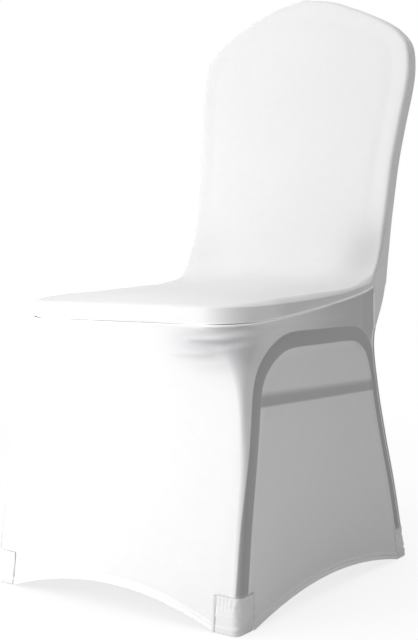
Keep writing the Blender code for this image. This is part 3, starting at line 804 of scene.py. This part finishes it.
def thread_paint():
    """White polyester sewing thread with a faint twist and a slight lustre."""
    paint, tree, shader = new_paint("sewing_thread")
    here = add_node(tree, "ShaderNodeTexCoord").outputs["Object"]
    ply = add_node(tree, "ShaderNodeTexWave", {"Vector": here, "Scale": 900.0, "Distortion": 1.5},
                   bands_direction="DIAGONAL").outputs["Fac"]
    twist = add_node(tree, "ShaderNodeBump", {"Height": ply, "Distance": 0.00005})
    wire(tree, shader, {"Sheen Weight": 0.25, "Base Color": mix_colours(tree, ply, *THREAD_TONES),
                        "Roughness": map_range(tree, ply, (0.0, 1.0), THREAD_ROUGHNESS, "LINEAR"),
                        "Normal": twist.outputs["Normal"]})
    return paint


stitches_along_path = stitch_tree()
STITCH_VALUES = {"Stitch pitch": STITCH_PITCH, "Stitch length": STITCH_LENGTH,
                 "Thread radius": THREAD_RADIUS, "Thread": thread_paint()}


def stitch_lines(name, points, quads, shape, spans, ledges):
    """Two rows of stitches along each open hem and one over each pocket, as one plain mesh."""
    grid = (points + HALF_THREAD * vertex_normals(points, quads) - (0.0, MID_DEPTH, 0.0)).reshape(*shape, 3)
    lines = [(row, *span) for row in STITCH_ROWS for span in spans]
    lines += [(LEDGE_STITCHES, *span) for span in ledges]
    spots, links = [], []
    for row, first, last in lines:
        links += [(len(spots) + i, len(spots) + i + 1) for i in range(last - first)]
        spots += grid[row, first:last + 1].tolist()
    guide_mesh = bpy.data.meshes.new(name + "_guide")
    guide_mesh.from_pydata(spots, links, [])
    guide = new_object(name + "_guide", guide_mesh)
    sew = guide.modifiers.new("stitches", "NODES")
    sew.node_group = stitches_along_path
    for item in stitches_along_path.interface.items_tree:
        if item.in_out == "INPUT" and item.name in STITCH_VALUES:
            sew[item.identifier] = STITCH_VALUES[item.name]
    shown = guide.evaluated_get(bpy.context.evaluated_depsgraph_get())
    mesh = bpy.data.meshes.new_from_object(shown)
    mesh.name = name
    guide.modifiers.remove(sew)
    bpy.data.objects.remove(guide)
    mesh.shade_smooth()
    piece = new_object(name, mesh)
    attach(piece, "root")
    return piece


def both_halves(side, turned, face):
    """Columns of a whole skirt from the shares of its right half: part, share, hand and place."""
    part = np.repeat((SIDE, ROUND, FACE), (len(side), len(turned), len(face)))
    share = np.concatenate([side, turned, face])
    hand = np.ones(2 * len(part) - 1)
    hand[len(part):] = -1
    number = np.arange(len(hand))
    return (np.concatenate([part, part[-2::-1]]), np.concatenate([share, share[-2::-1]]), hand,
            np.minimum(number, number[::-1]))


def mirrored(spans, last):
    """Spans of columns on the right half, and the same on the left."""
    return spans + [(last - end, last - start) for start, end in reversed(spans)]


def above_pockets(columns, corners):
    """Leaves a skirt's corners open below the ledge where the foot pockets sit."""
    def keep(row, col):
        near = np.minimum(col, columns - 2 - col)
        in_corner = np.logical_or.reduce([(near >= first) & (near < last) for first, last in corners])
        return (row >= LEDGE_ROW) | ~in_corner
    return keep


def skirt_gaps(part, y, height, hem, top, over_notch, leg_clear):
    """How far each point is from the seam above, the leg seam, the pocket below and an open hem."""
    top_gap = top[None] - SEAM_CLEAR - height
    leg_gap = np.where(part[None] == SIDE, np.abs(leg_seam_y(height) + leg_clear - y), 1.0)
    on_pocket = over_notch[None] & (height >= POCKET_TOP)
    ledge_gap = np.where(on_pocket, height - POCKET_TOP - SEAM_CLEAR, 1.0)
    hem_gap = np.where(~over_notch[None] & (height < POCKET_TOP), height - hem[None], 1.0)
    return top_gap.ravel(), leg_gap.ravel(), ledge_gap.ravel(), hem_gap.ravel()


def edge_relief(leg_gap, ledge_gap, notch_gap, hem_gap):
    """The leg seam's welt, the edges that roll in at the pockets, and the hem."""
    rolled = seam_roll(leg_gap) + seam_roll(ledge_gap, POCKET_EDGE) + seam_roll(notch_gap, POCKET_EDGE)
    return seam_ridge(leg_gap, LEG_WELT) + hem_band(hem_gap) - rolled


def doubled_and_highlight_tone(top_gap, leg_gap, hem_gap):
    """Where two thicknesses show whiter: partly on the hem, and fully beside a seam, where it is also a
    painted highlight.
    """
    on_hem = HEM_WHITE * (1 - step_up(HEM_DEPTH - 0.0003, HEM_DEPTH + 0.0005, hem_gap))
    return np.maximum(on_hem, seam_lip(np.minimum(top_gap, leg_gap)))


def strip_flat(x, y, height):
    """A skirt's flat cloth coordinate: the way round it half-way up, and the height."""
    middle = len(height) // 2
    steps = np.hypot(np.diff(x[middle]), np.diff(y[middle]))
    around = np.concatenate([[0.0], np.cumsum(steps)])
    return np.stack([np.broadcast_to(around[None], height.shape), height], -1).reshape(-1, 2)


def above_pocket(z):
    """0 on a pocket, which hides the frame, and 1 over it."""
    return step_up(POCKET_TOP - 0.002, POCKET_TOP + 0.001, z)


floor_side = float(leg_seam_y(0.0) - front_y(0.0) - front_corner(0.0))
rear_notch = (NOTCH - SEAM_BACKSET) / floor_side
front_notch = 1 - (NOTCH - float(front_corner(0.0))) / floor_side
face_notch = (NOTCH - float(front_corner(0.0))) / float(front_half(0.0) - front_corner(0.0))
SIDE_COLUMNS, ROUND_COLUMNS, FACE_COLUMNS = 92, 14, 44
NEAR_LEG_SEAM = np.array([0.0, 0.0002, 0.0005, 0.0009, 0.0014, 0.002, 0.0028, 0.004, 0.007, 0.011, 0.0155])
side_shares = np.concatenate([
    NEAR_LEG_SEAM / floor_side, np.linspace(rear_notch, front_notch, SIDE_COLUMNS + 1),
    np.linspace(front_notch, 1.0, 5)[1:]])
round_shares = np.arange(1, ROUND_COLUMNS + 1) / ROUND_COLUMNS
face_shares = np.concatenate([np.linspace(0, face_notch, 5)[1:],
                              np.linspace(face_notch, 1.0, FACE_COLUMNS + 1)[1:]])
part, share, hand, place = both_halves(side_shares, round_shares, face_shares)
columns = len(part)
side_first = len(NEAR_LEG_SEAM)
side_last = side_first + SIDE_COLUMNS
face_first = len(side_shares) + ROUND_COLUMNS + 3
side_at = np.clip((place - side_first) / SIDE_COLUMNS, 0, 1)
face_at = np.clip((place - face_first) / (2 * FACE_COLUMNS), 0, 1)
hem = np.maximum(arch(side_at, SIDE_ARCH), arch(face_at, FRONT_ARCH))
top = seat_seam_z(skirt_xyu(part, share, edges[MID_SEAT_ROW, Z_SEAM])[1])
height = skirt_heights(hem, top)
x, y, unrolled = skirt_xyu(part[None], share[None], height)
x = x * hand
points = np.stack([x, y, height], -1).reshape(-1, 3)
quads = grid_faces(*height.shape, above_pockets(columns, ((0, side_first), (side_last, face_first))))[:, ::-1]
over_notch = (place < side_first) | ((place > side_last) & (place < face_first))
top_gap, leg_gap, ledge_gap, hem_gap = skirt_gaps(part, y, height, hem, top, over_notch, 0.0)
SIDE_PITCH, FACE_PITCH = 0.0046, 0.0042         # how far apart the columns are beside a pocket
by_side = np.minimum(np.abs(place - side_first), np.abs(place - side_last)) * SIDE_PITCH
by_face = np.abs(place - face_first) * FACE_PITCH
notch_gap = np.where(height < POCKET_TOP, np.minimum(by_side, by_face), FAR_OFF).ravel()

# Where the chair's tubes lie under the cloth: (y unrolled, z) along the middle of each.
frame_loop = [(-0.2490, 0.000), (-0.2375, 0.056), (-0.2285, 0.114), (-0.2220, 0.151), (-0.2035, 0.241),
              (-0.1955, 0.278), (-0.1888, 0.312), (-0.1775, 0.334), (-0.1620, 0.349), (-0.1410, 0.363),
              (-0.1120, 0.3745), (-0.0820, 0.378), (0.0050, 0.377), (0.0850, 0.377), (0.1180, 0.3745),
              (0.1400, 0.366), (0.1575, 0.354), (0.1690, 0.337), (0.1760, 0.315), (0.1810, 0.288),
              (0.1935, 0.210), (0.2130, 0.119), (0.2250, 0.050), (0.2330, 0.000)]
cross_bar = np.array([(-0.1800, 0.2985), (-0.0242, 0.2935), (0.1700, 0.2885)])
TUBE_HALF = 0.0116
REAR_LEG_INSET = 0.0305
LEG_TOP = 0.345
TUBE_PROUD = 0.0009           # how far the cloth stands out over a tube, and sinks beside it
TUBE_DIP = 0.0007
BAR_PROUD = 0.0005
SEAT_WELT = 0.0012


def rounded(path, times=3):
    """A path with its corners cut back again and again until it bends smoothly."""
    path = np.asarray(path, float)
    for _ in range(times):
        near = path[:-1] * 0.75 + path[1:] * 0.25
        far = path[:-1] * 0.25 + path[1:] * 0.75
        inner = np.stack([near, far], 1).reshape(-1, 2)
        path = np.concatenate([path[:1], inner, path[-1:]])
    return path


side_plane = np.stack([unrolled.ravel(), height.ravel()], -1)
depth_at, height_at = side_plane.T
loop_gap = line_distance(side_plane, rounded(frame_loop)) - TUBE_HALF
rear_leg_gap = rear_y(height_at) - REAR_LEG_INSET - depth_at
loop_gap = np.where(height_at < LEG_TOP, np.minimum(loop_gap, rear_leg_gap), loop_gap)
bar_over = height_at - np.interp(depth_at, cross_bar[:, 0], cross_bar[:, 1])
bar_beside = step_up(-0.205, -0.190, depth_at)
off_pocket = above_pocket(height_at)
frame_gap = loop_gap + UNDER_POCKET * (1 - off_pocket)

relief = TUBE_PROUD * (1 - step_up(-0.008, 0.004, loop_gap)) * off_pocket
relief -= TUBE_DIP * swell(loop_gap, 0.010, 0.006) * off_pocket
relief += BAR_PROUD * swell(bar_over, 0.0, 0.009) * bar_beside
relief += seam_ridge(top_gap, SEAT_WELT, 0.0015) - seam_roll(top_gap, 0.0003)
relief += edge_relief(leg_gap, ledge_gap, notch_gap, hem_gap)
# Folds drawn from the seat's corner, under the seam, where the pad's corner gathers the cloth.
corner_folds = (
    # path of (y unrolled, z), width, height
    (((-0.290, 0.3835), (-0.255, 0.3850), (-0.215, 0.3880), (-0.172, 0.3910)), 0.0028, 0.0022),
    (((-0.285, 0.3780), (-0.250, 0.3795), (-0.205, 0.3830)), 0.0030, -0.0018),
    (((-0.268, 0.3925), (-0.215, 0.3960), (-0.185, 0.3985)), 0.0022, -0.0016),
    (((-0.330, 0.3630), (-0.290, 0.3630), (-0.262, 0.3650)), 0.0034, 0.0016),
    (((-0.325, 0.3575), (-0.285, 0.3580), (-0.255, 0.3605)), 0.0040, -0.0014),
    (((-0.300, 0.3480), (-0.255, 0.3510), (-0.225, 0.3560)), 0.0045, 0.0010),
    (((-0.255, 0.3700), (-0.215, 0.3740), (-0.175, 0.3790)), 0.0034, 0.0012),
    (((-0.180, 0.3955), (-0.120, 0.4000), (-0.060, 0.4060)), 0.0030, -0.0008),
)
LEFT_FOLDS = 0.5              # the left corner's folds are lower, and its shade fainter
LEFT_SHADE = 0.12
TUCK_DEPTH = 0.0018
HOLLOW_DEPTH = 0.0030
fold_share = np.where(points[:, 0] > 0, 1.0, LEFT_FOLDS)
shade_share = np.where(points[:, 0] > 0, 1.0, LEFT_SHADE)
creased = fold_share * sum(soft_fold(side_plane, *fold) for fold in corner_folds)
# The corner's cloth tucks in under the seam, and hollows below it between the seam and the leg.
at_corner = step_up(-0.262, -0.245, depth_at) * (1 - step_up(-0.200, -0.180, depth_at))
tuck = swell(top_gap, 0.0042, 0.0012) * at_corner
hollow = swell(depth_at, -0.250, 0.05) * swell(height_at, 0.368, 0.022)
relief += creased - (TUCK_DEPTH * tuck + HOLLOW_DEPTH * hollow) * fold_share
# Pulls that fan out from each pocket's corners.
pocket_pulls = (
    # start, end, width, height
    ((0.2195, -0.214, 0.052), (0.2160, -0.150, 0.120), 0.005, 0.0010),
    ((0.2195, -0.210, 0.030), (0.2180, -0.120, 0.055), 0.004, 0.0008),
    ((0.185, -0.2495, 0.050), (0.120, -0.243, 0.110), 0.006, 0.0010),
    ((0.2175, 0.205, 0.052), (0.2120, 0.150, 0.115), 0.004, 0.0009),
    ((0.2175, 0.203, 0.030), (0.2150, 0.130, 0.052), 0.004, 0.0007),
)
relief += folds_both_sides(points, pocket_pulls)
points = points + relief[:, None] * vertex_normals(points, quads)
# The cloth is greyed above the rail and round the rear corner, where the seat's own frame shows through.
# Painted shade greys a soft patch under the seam at the front corner, and the side a little towards the rear
# and the top.
RAIL_DIM = 0.68
REAR_CORNER_DIM = 0.76
PATCH_SHADE = 0.72
PATCH_FOLDS = 170.0           # painted shade follows the folds: the patch is paler on a fold's crest and darker in its trough, per metre
TUCK_SHADE = 0.5
# Painted shade: the side greys a little towards the rear and towards the top.
on_side = 0.10 * step_up(-0.10, 0.20, depth_at) * (depth_at > -0.2) + 0.08 * step_up(0.20, 0.36, height_at)
over_seat_frame = RAIL_DIM * step_up(-0.17, 0.12, depth_at) * step_up(0.376, 0.388, height_at)
rear_corner = REAR_CORNER_DIM * step_up(0.085, 0.15, depth_at) * step_up(0.335, 0.372, height_at)
# Painted shade in a soft patch under the seam at the front corner, deepest where the cloth tucks in.
patch = swell(depth_at, -0.238, 0.060) * swell(height_at, 0.374, 0.030) * step_up(0.0035, 0.0050, top_gap)
patch = np.clip(patch * (PATCH_SHADE - PATCH_FOLDS * creased) + TUCK_SHADE * tuck, 0.0, 0.9)
dim = np.maximum.reduce([on_side * (depth_at > -0.17), over_seat_frame, rear_corner,
                         patch * shade_share * (depth_at < -0.10)])
skirt = cloth_piece("wrap_skirt_knit", "wrap_skirt", "stretch_knit", points, quads, strip_flat(x, y, height),
                    knit_white, KNIT_WALL, frame_gap=frame_gap, bar_over=bar_over, bar_beside=bar_beside,
                    dim=dim, doubled=doubled_and_highlight_tone(top_gap, leg_gap, hem_gap))
last = columns - 1
front_span = (face_first, last - face_first)
spans = [(side_first, side_last), front_span, (last - side_last, last - side_first)]
skirt_stitches = stitch_lines("wrap_skirt_stitches", points, quads, height.shape, spans,
                              mirrored([(1, side_first), (side_last, face_first)], last))


# Outside back: the knit over the rear of the back, rolled round its edges to the seam that runs
# mid-way through the back's thickness, and ending in a straight seam across the rear.

BACK_SEAM_Z = 0.450
BACK_SEAM_DROP = 0.015
DROP_FADE = 0.100
NEAR_REAR_SEAM = 0.02
BACK_WELT = 0.0004
REAR_ROLL = 0.011
BACK_ACROSS = 90
BACK_ALONG = 120
BACK_ROLL = 8
ROLL_STEP = 0.0018            # how much cloth each ring of the roll takes up
BACK_WALL = (0.4, 0.7, 0.85, 0.93, 0.97, 1.0)

floor_edge = BACK_SEAM_Z + SEAM_CLEAR
spread = np.linspace(-1.0, 1.0, BACK_ACROSS + 1)
levels = np.linspace(floor_edge, edges[SHOULDER, Z_FACE], BACK_ALONG + 1)
right = np.stack([back_half(levels), levels], -1)
right[-1, 0] = SHOULDER_HALF
low_edge = np.stack([spread * right[0, 0], np.full(BACK_ACROSS + 1, floor_edge)], -1)
top_edge = np.stack([spread * SHOULDER_HALF, crown_line(np.abs(spread * SHOULDER_HALF))], -1)
loop = one_loop(low_edge, right, top_edge, right * (-1.0, 1.0))
normals = outward(loop)
normals[:BACK_ACROSS + 1] = 0.0
normals[BACK_ACROSS] = (1.0, 0.0)
normals[0] = (-1.0, 0.0)
inner = loop - REAR_ROLL * normals
inner[:BACK_ACROSS + 1, 0] = spread * (right[0, 0] - REAR_ROLL)
laid = fill_patch(inner, BACK_ACROSS, BACK_ALONG).reshape(-1, 2)
points = [np.stack([laid[:, 0], rear_y(laid[:, 1]), laid[:, 1]], -1)]
quads = [grid_faces(BACK_ALONG + 1, BACK_ACROSS + 1)[:, ::-1]]
flat = [laid]
rim = np.concatenate([patch_rim(BACK_ACROSS, BACK_ALONG)[BACK_ACROSS:], [0]])
edge_loop = np.concatenate([loop[BACK_ACROSS:], loop[:1]])
edge_normals = np.concatenate([normals[BACK_ACROSS:], normals[:1]])
fade = np.clip(1.0 - (edge_loop[:, 1] - floor_edge) / DROP_FADE, 0.0, 1.0)
drop_to = BACK_SEAM_DROP * fade
start_y = rear_y(edge_loop[:, 1]) - REAR_ROLL
goal_z = edge_loop[:, 1] - drop_to
goal_y = seam_up_y(goal_z) + SEAM_CLEAR
count = len(laid)
gaps = [np.full(count, FAR_OFF)]
for step in range(1, BACK_ROLL + len(BACK_WALL) + 1):
    turn = min(step / BACK_ROLL, 1.0) * math.pi / 2
    back = REAR_ROLL * (1 - math.sin(turn))
    level = edge_loop[:, 1] - back * edge_normals[:, 1]
    if step <= BACK_ROLL:
        y = rear_y(level) - REAR_ROLL * (1 - math.cos(turn))
        gaps.append(start_y - goal_y)
    else:
        share = BACK_WALL[step - BACK_ROLL - 1]
        level = level - drop_to * share
        y = start_y + (goal_y - start_y) * share
        gaps.append((start_y - goal_y) * (1 - share))
    ring = np.stack([edge_loop[:, 0] - back * edge_normals[:, 0], y, level], -1)
    points.append(ring)
    flat.append(edge_loop + edge_normals * (step * ROLL_STEP))
    new = count + np.arange(len(edge_loop))
    quads.append(np.stack([rim[:-1], rim[1:], new[1:], new[:-1]], -1))
    rim = new
    count += len(edge_loop)
points, quads, flat, gap = (np.concatenate(parts) for parts in (points, quads, flat, gaps))
into_side = np.clip((rear_y(points[:, 2]) - points[:, 1]) / NEAR_REAR_SEAM, 0, 1)
across_gap = np.where(points[:, 2] < BACK_SEAM_Z + NEAR_REAR_SEAM,
                      points[:, 2] - floor_edge + BACK_SEAM_DROP * into_side, FAR_OFF)
relief = seam_ridge(gap, BACK_WELT) - seam_roll(gap)
relief += seam_ridge(across_gap, BACK_WELT) - seam_roll(np.maximum(across_gap, 0.0))
points = points + relief[:, None] * vertex_normals(points, quads)
outside = cloth_piece("outside_back_knit", "outside_back", "stretch_knit", points, quads, flat,
                      knit_white, KNIT_WALL)


# Back skirt: the knit below the rear seam, rolled round both rear legs to the leg seams, nipped in
# at the waist under the seat, with its own arched hem.

REAR_CORNER = 0.013
REAR_ARCH = 0.030
BACK_FACE_COLUMNS = 44
BACK_ROUND_COLUMNS = 10
BACK_POCKET_COLUMNS = 5
REAR_DRAWN_IN = 0.0030        # the cloth draws in this far between the rear legs
REAR_TUBE = 0.024             # the leg's tube shows this far in from the rear corner


def rear_xy(part, share, z):
    """Right half of the back skirt at height z, from the leg seam round to the middle."""
    half, start, rear = rear_half(z), leg_seam_y(z) + SEAM_CLEAR, rear_y(z)
    turn = share * math.pi / 2
    side_y = start + (rear - REAR_CORNER - start) * share
    x = np.where(part == SIDE, half, np.where(part == ROUND, half - REAR_CORNER * (1 - np.cos(turn)),
                                              (half - REAR_CORNER) * (1 - share)))
    y = np.where(part == SIDE, side_y, np.where(part == ROUND, rear - REAR_CORNER * (1 - np.sin(turn)), rear))
    return x, y


wide = float(rear_half(0.0)) - REAR_CORNER
inner_notch = (NOTCH - REAR_CORNER) / wide
side_steps = np.array([0.0, 0.008, 0.02, 0.04, 0.07, 0.11, 0.17, 0.25, 0.36, 0.48, 0.6, 0.73, 0.87, 1.0])
round_steps = np.arange(1, BACK_ROUND_COLUMNS + 1) / BACK_ROUND_COLUMNS
face_steps = np.concatenate([np.linspace(0, inner_notch, BACK_POCKET_COLUMNS + 1)[1:],
                             np.linspace(inner_notch, 1.0, BACK_FACE_COLUMNS + 1)[1:]])
part, share, hand, place = both_halves(side_steps, round_steps, face_steps)
columns = len(part)
open_first = len(side_steps) - 1 + BACK_ROUND_COLUMNS + BACK_POCKET_COLUMNS
hem = arch(np.clip((place - open_first) / (2 * BACK_FACE_COLUMNS), 0, 1), REAR_ARCH)
top = BACK_SEAM_Z - BACK_SEAM_DROP * (1 - np.where(part == SIDE, share, 1.0))
height = skirt_heights(hem, top)
x, y = rear_xy(part[None], share[None], height)
edge_in = (rear_half(height) - x).ravel()
x = x * hand
points = np.stack([x, y, height], -1).reshape(-1, 3)
quads = grid_faces(*height.shape, above_pockets(columns, ((0, open_first),)))
top_gap, leg_gap, ledge_gap, hem_gap = skirt_gaps(part, y, height, hem, top, place < open_first, SEAM_CLEAR)
notch_gap = np.where(height < POCKET_TOP, np.abs(place - open_first) * FACE_PITCH, FAR_OFF).ravel()
height_at = height.ravel()
below_rail = 1 - step_up(0.33, 0.37, height_at)
relief = -REAR_DRAWN_IN * step_up(0.022, 0.08, edge_in) * below_rail * step_up(0.0, 0.1, height_at)
relief += seam_ridge(top_gap, BACK_WELT) - seam_roll(top_gap)
relief += edge_relief(leg_gap, ledge_gap, notch_gap, hem_gap)
points = points + relief[:, None] * vertex_normals(points, quads)
hidden = 1 - above_pocket(height_at) + step_up(0.36, 0.40, height_at)
rear_skirt = cloth_piece("back_skirt_knit", "back_skirt", "stretch_knit", points, quads,
                         strip_flat(x, y, height), knit_white, KNIT_WALL,
                         frame_gap=edge_in - REAR_TUBE + UNDER_POCKET * hidden,
                         doubled=doubled_and_highlight_tone(top_gap, leg_gap, hem_gap))
last = columns - 1
rear_stitches = stitch_lines("back_skirt_stitches", points, quads, height.shape,
                             [(open_first, last - open_first)], mirrored([(1, open_first)], last))


# Foot pockets: four closed-soled cups of doubled, reinforced knit that slip under the chair's
# feet and hold the cover down.  Each is sewn into its notch in the skirt.

POCKET_WALL = 0.0014
POCKET_SIZE = 0.0370
POCKET_ROLL = 0.004
POCKET_INNER_ROLL = 0.0025
POCKET_ARC = 8
POCKET_STRAIGHT = 12
PUCKER_PITCH = 0.0058
POCKET_CREASES = (
    # tilt  start   height
    (0.50, 0.0080, 0.0010),
    (0.45, 0.0125, -0.0008),
    (-0.35, 0.0240, 0.0008),
    (0.25, 0.0360, -0.0006),
)
SOLE_RINGS = (0.12, 0.35, 0.6, 0.85)
pocket_white = knit_cloth("pocket_knit", (0.70, 0.70, 0.708), (0.40, 0.40, 0.41), 0.66, 0.00014)


def foot_pocket(name, hand, front):
    """One cup: rings from the sole's edge to the top, round a corner-shaped leg."""
    inward = 1 if front else -1
    turns = np.linspace(0.0, math.pi / 2, 9)
    levels = [(POCKET_ROLL * (1 - math.cos(t)), POCKET_ROLL * (1 - math.sin(t))) for t in turns]
    levels += [(z, 0.0) for z in np.linspace(POCKET_ROLL, POCKET_TOP - 0.002, 30)[1:]]
    levels += [(POCKET_TOP - gap, 0.0) for gap in (0.0014, 0.0009, 0.0005, 0.0002, 0.0)]
    half = POCKET_SIZE / 2
    rings = []
    for z, inset in levels:
        corner_x = float(front_half(z)) if front else float(rear_half(z))
        corner_y = float(front_y(z)) if front else float(rear_y(z))
        roll = float(front_corner(z)) if front else REAR_CORNER
        corners = []
        for quarter, (sx, sy) in enumerate(((1, -1), (1, 1), (-1, 1), (-1, -1))):
            radius = roll if quarter == 0 else POCKET_INNER_ROLL
            turn = (quarter - 1 + np.linspace(0.0, 1.0, POCKET_ARC + 1)) * math.pi / 2
            corners.append(np.stack([sx * (half - radius) + radius * np.cos(turn),
                                     sy * (half - radius) + radius * np.sin(turn)], -1))
        t = np.arange(1, POCKET_STRAIGHT)[:, None] / POCKET_STRAIGHT
        ring = []
        for here, after in zip(corners, corners[1:] + corners[:1]):
            ring += [here, here[-1] + (after[0] - here[-1]) * t]
        ring = np.concatenate(ring) * (1 - (inset + float(seam_roll(POCKET_TOP - z, 0.0003))) / half)
        rings.append(np.stack([corner_x - half + ring[:, 0], corner_y + inward * (half + ring[:, 1]),
                               np.full(len(ring), z)], -1))
    # The sole closes in rings to its middle.
    middle = rings[0].mean(axis=0)
    sole = [middle + (rings[0] - middle) * share for share in SOLE_RINGS]
    stack = np.array(sole + rings)
    around = stack.shape[1]
    points = stack.reshape(-1, 3)
    row, col = np.meshgrid(np.arange(len(stack) - 1), np.arange(around), indexing="ij")
    a = (row * around + col).ravel()
    b = (row * around + (col + 1) % around).ravel()
    quads = np.stack([a, b, b + around, a + around], -1)
    first = np.arange(0, around, 2)
    centre = np.full(len(first), len(points))
    quads = np.concatenate([quads, np.stack([centre, (first + 2) % around, first + 1, first], -1)])
    points = np.concatenate([points, middle[None]])
    points[:, 0] *= hand
    if hand * inward < 0:
        quads = quads[:, ::-1]
    # Creases that the leg's foot presses into the cup, and puckers under its seam.
    height = points[:, 2]
    behind = np.abs(points[:, 1] - (front_y(height) if front else rear_y(height)))
    to_top = POCKET_TOP - height
    relief = 0.0005 * (1 - step_up(0.004, 0.0055, to_top)) * step_up(0.0, 0.0012, to_top)
    for tilt, start, lift in POCKET_CREASES:
        relief += lift * swell(height - tilt * behind, start, 0.0018) * step_up(0.0, 0.006, height)
    around_cup = np.abs(points[:, 0]) + np.abs(points[:, 1])
    relief += 0.0007 * np.cos(2 * math.pi * around_cup / PUCKER_PITCH) * step_up(0.022, 0.044, height) * (
        1 - step_up(0.0478, POCKET_TOP, height))
    points = points + relief[:, None] * vertex_normals(points, quads)
    flat = np.stack([points[:, 0] + points[:, 1], points[:, 2] + 0.3 * points[:, 1]], -1)
    piece = cloth_piece(name + "_knit", name, "pocket_knit", points, quads, flat, pocket_white, POCKET_WALL)


for foot, hand, front in (("front_right", 1, True), ("front_left", -1, True),
                          ("rear_right", 1, False), ("rear_left", -1, False)):
    foot_pocket("foot_pocket_" + foot, hand, front)
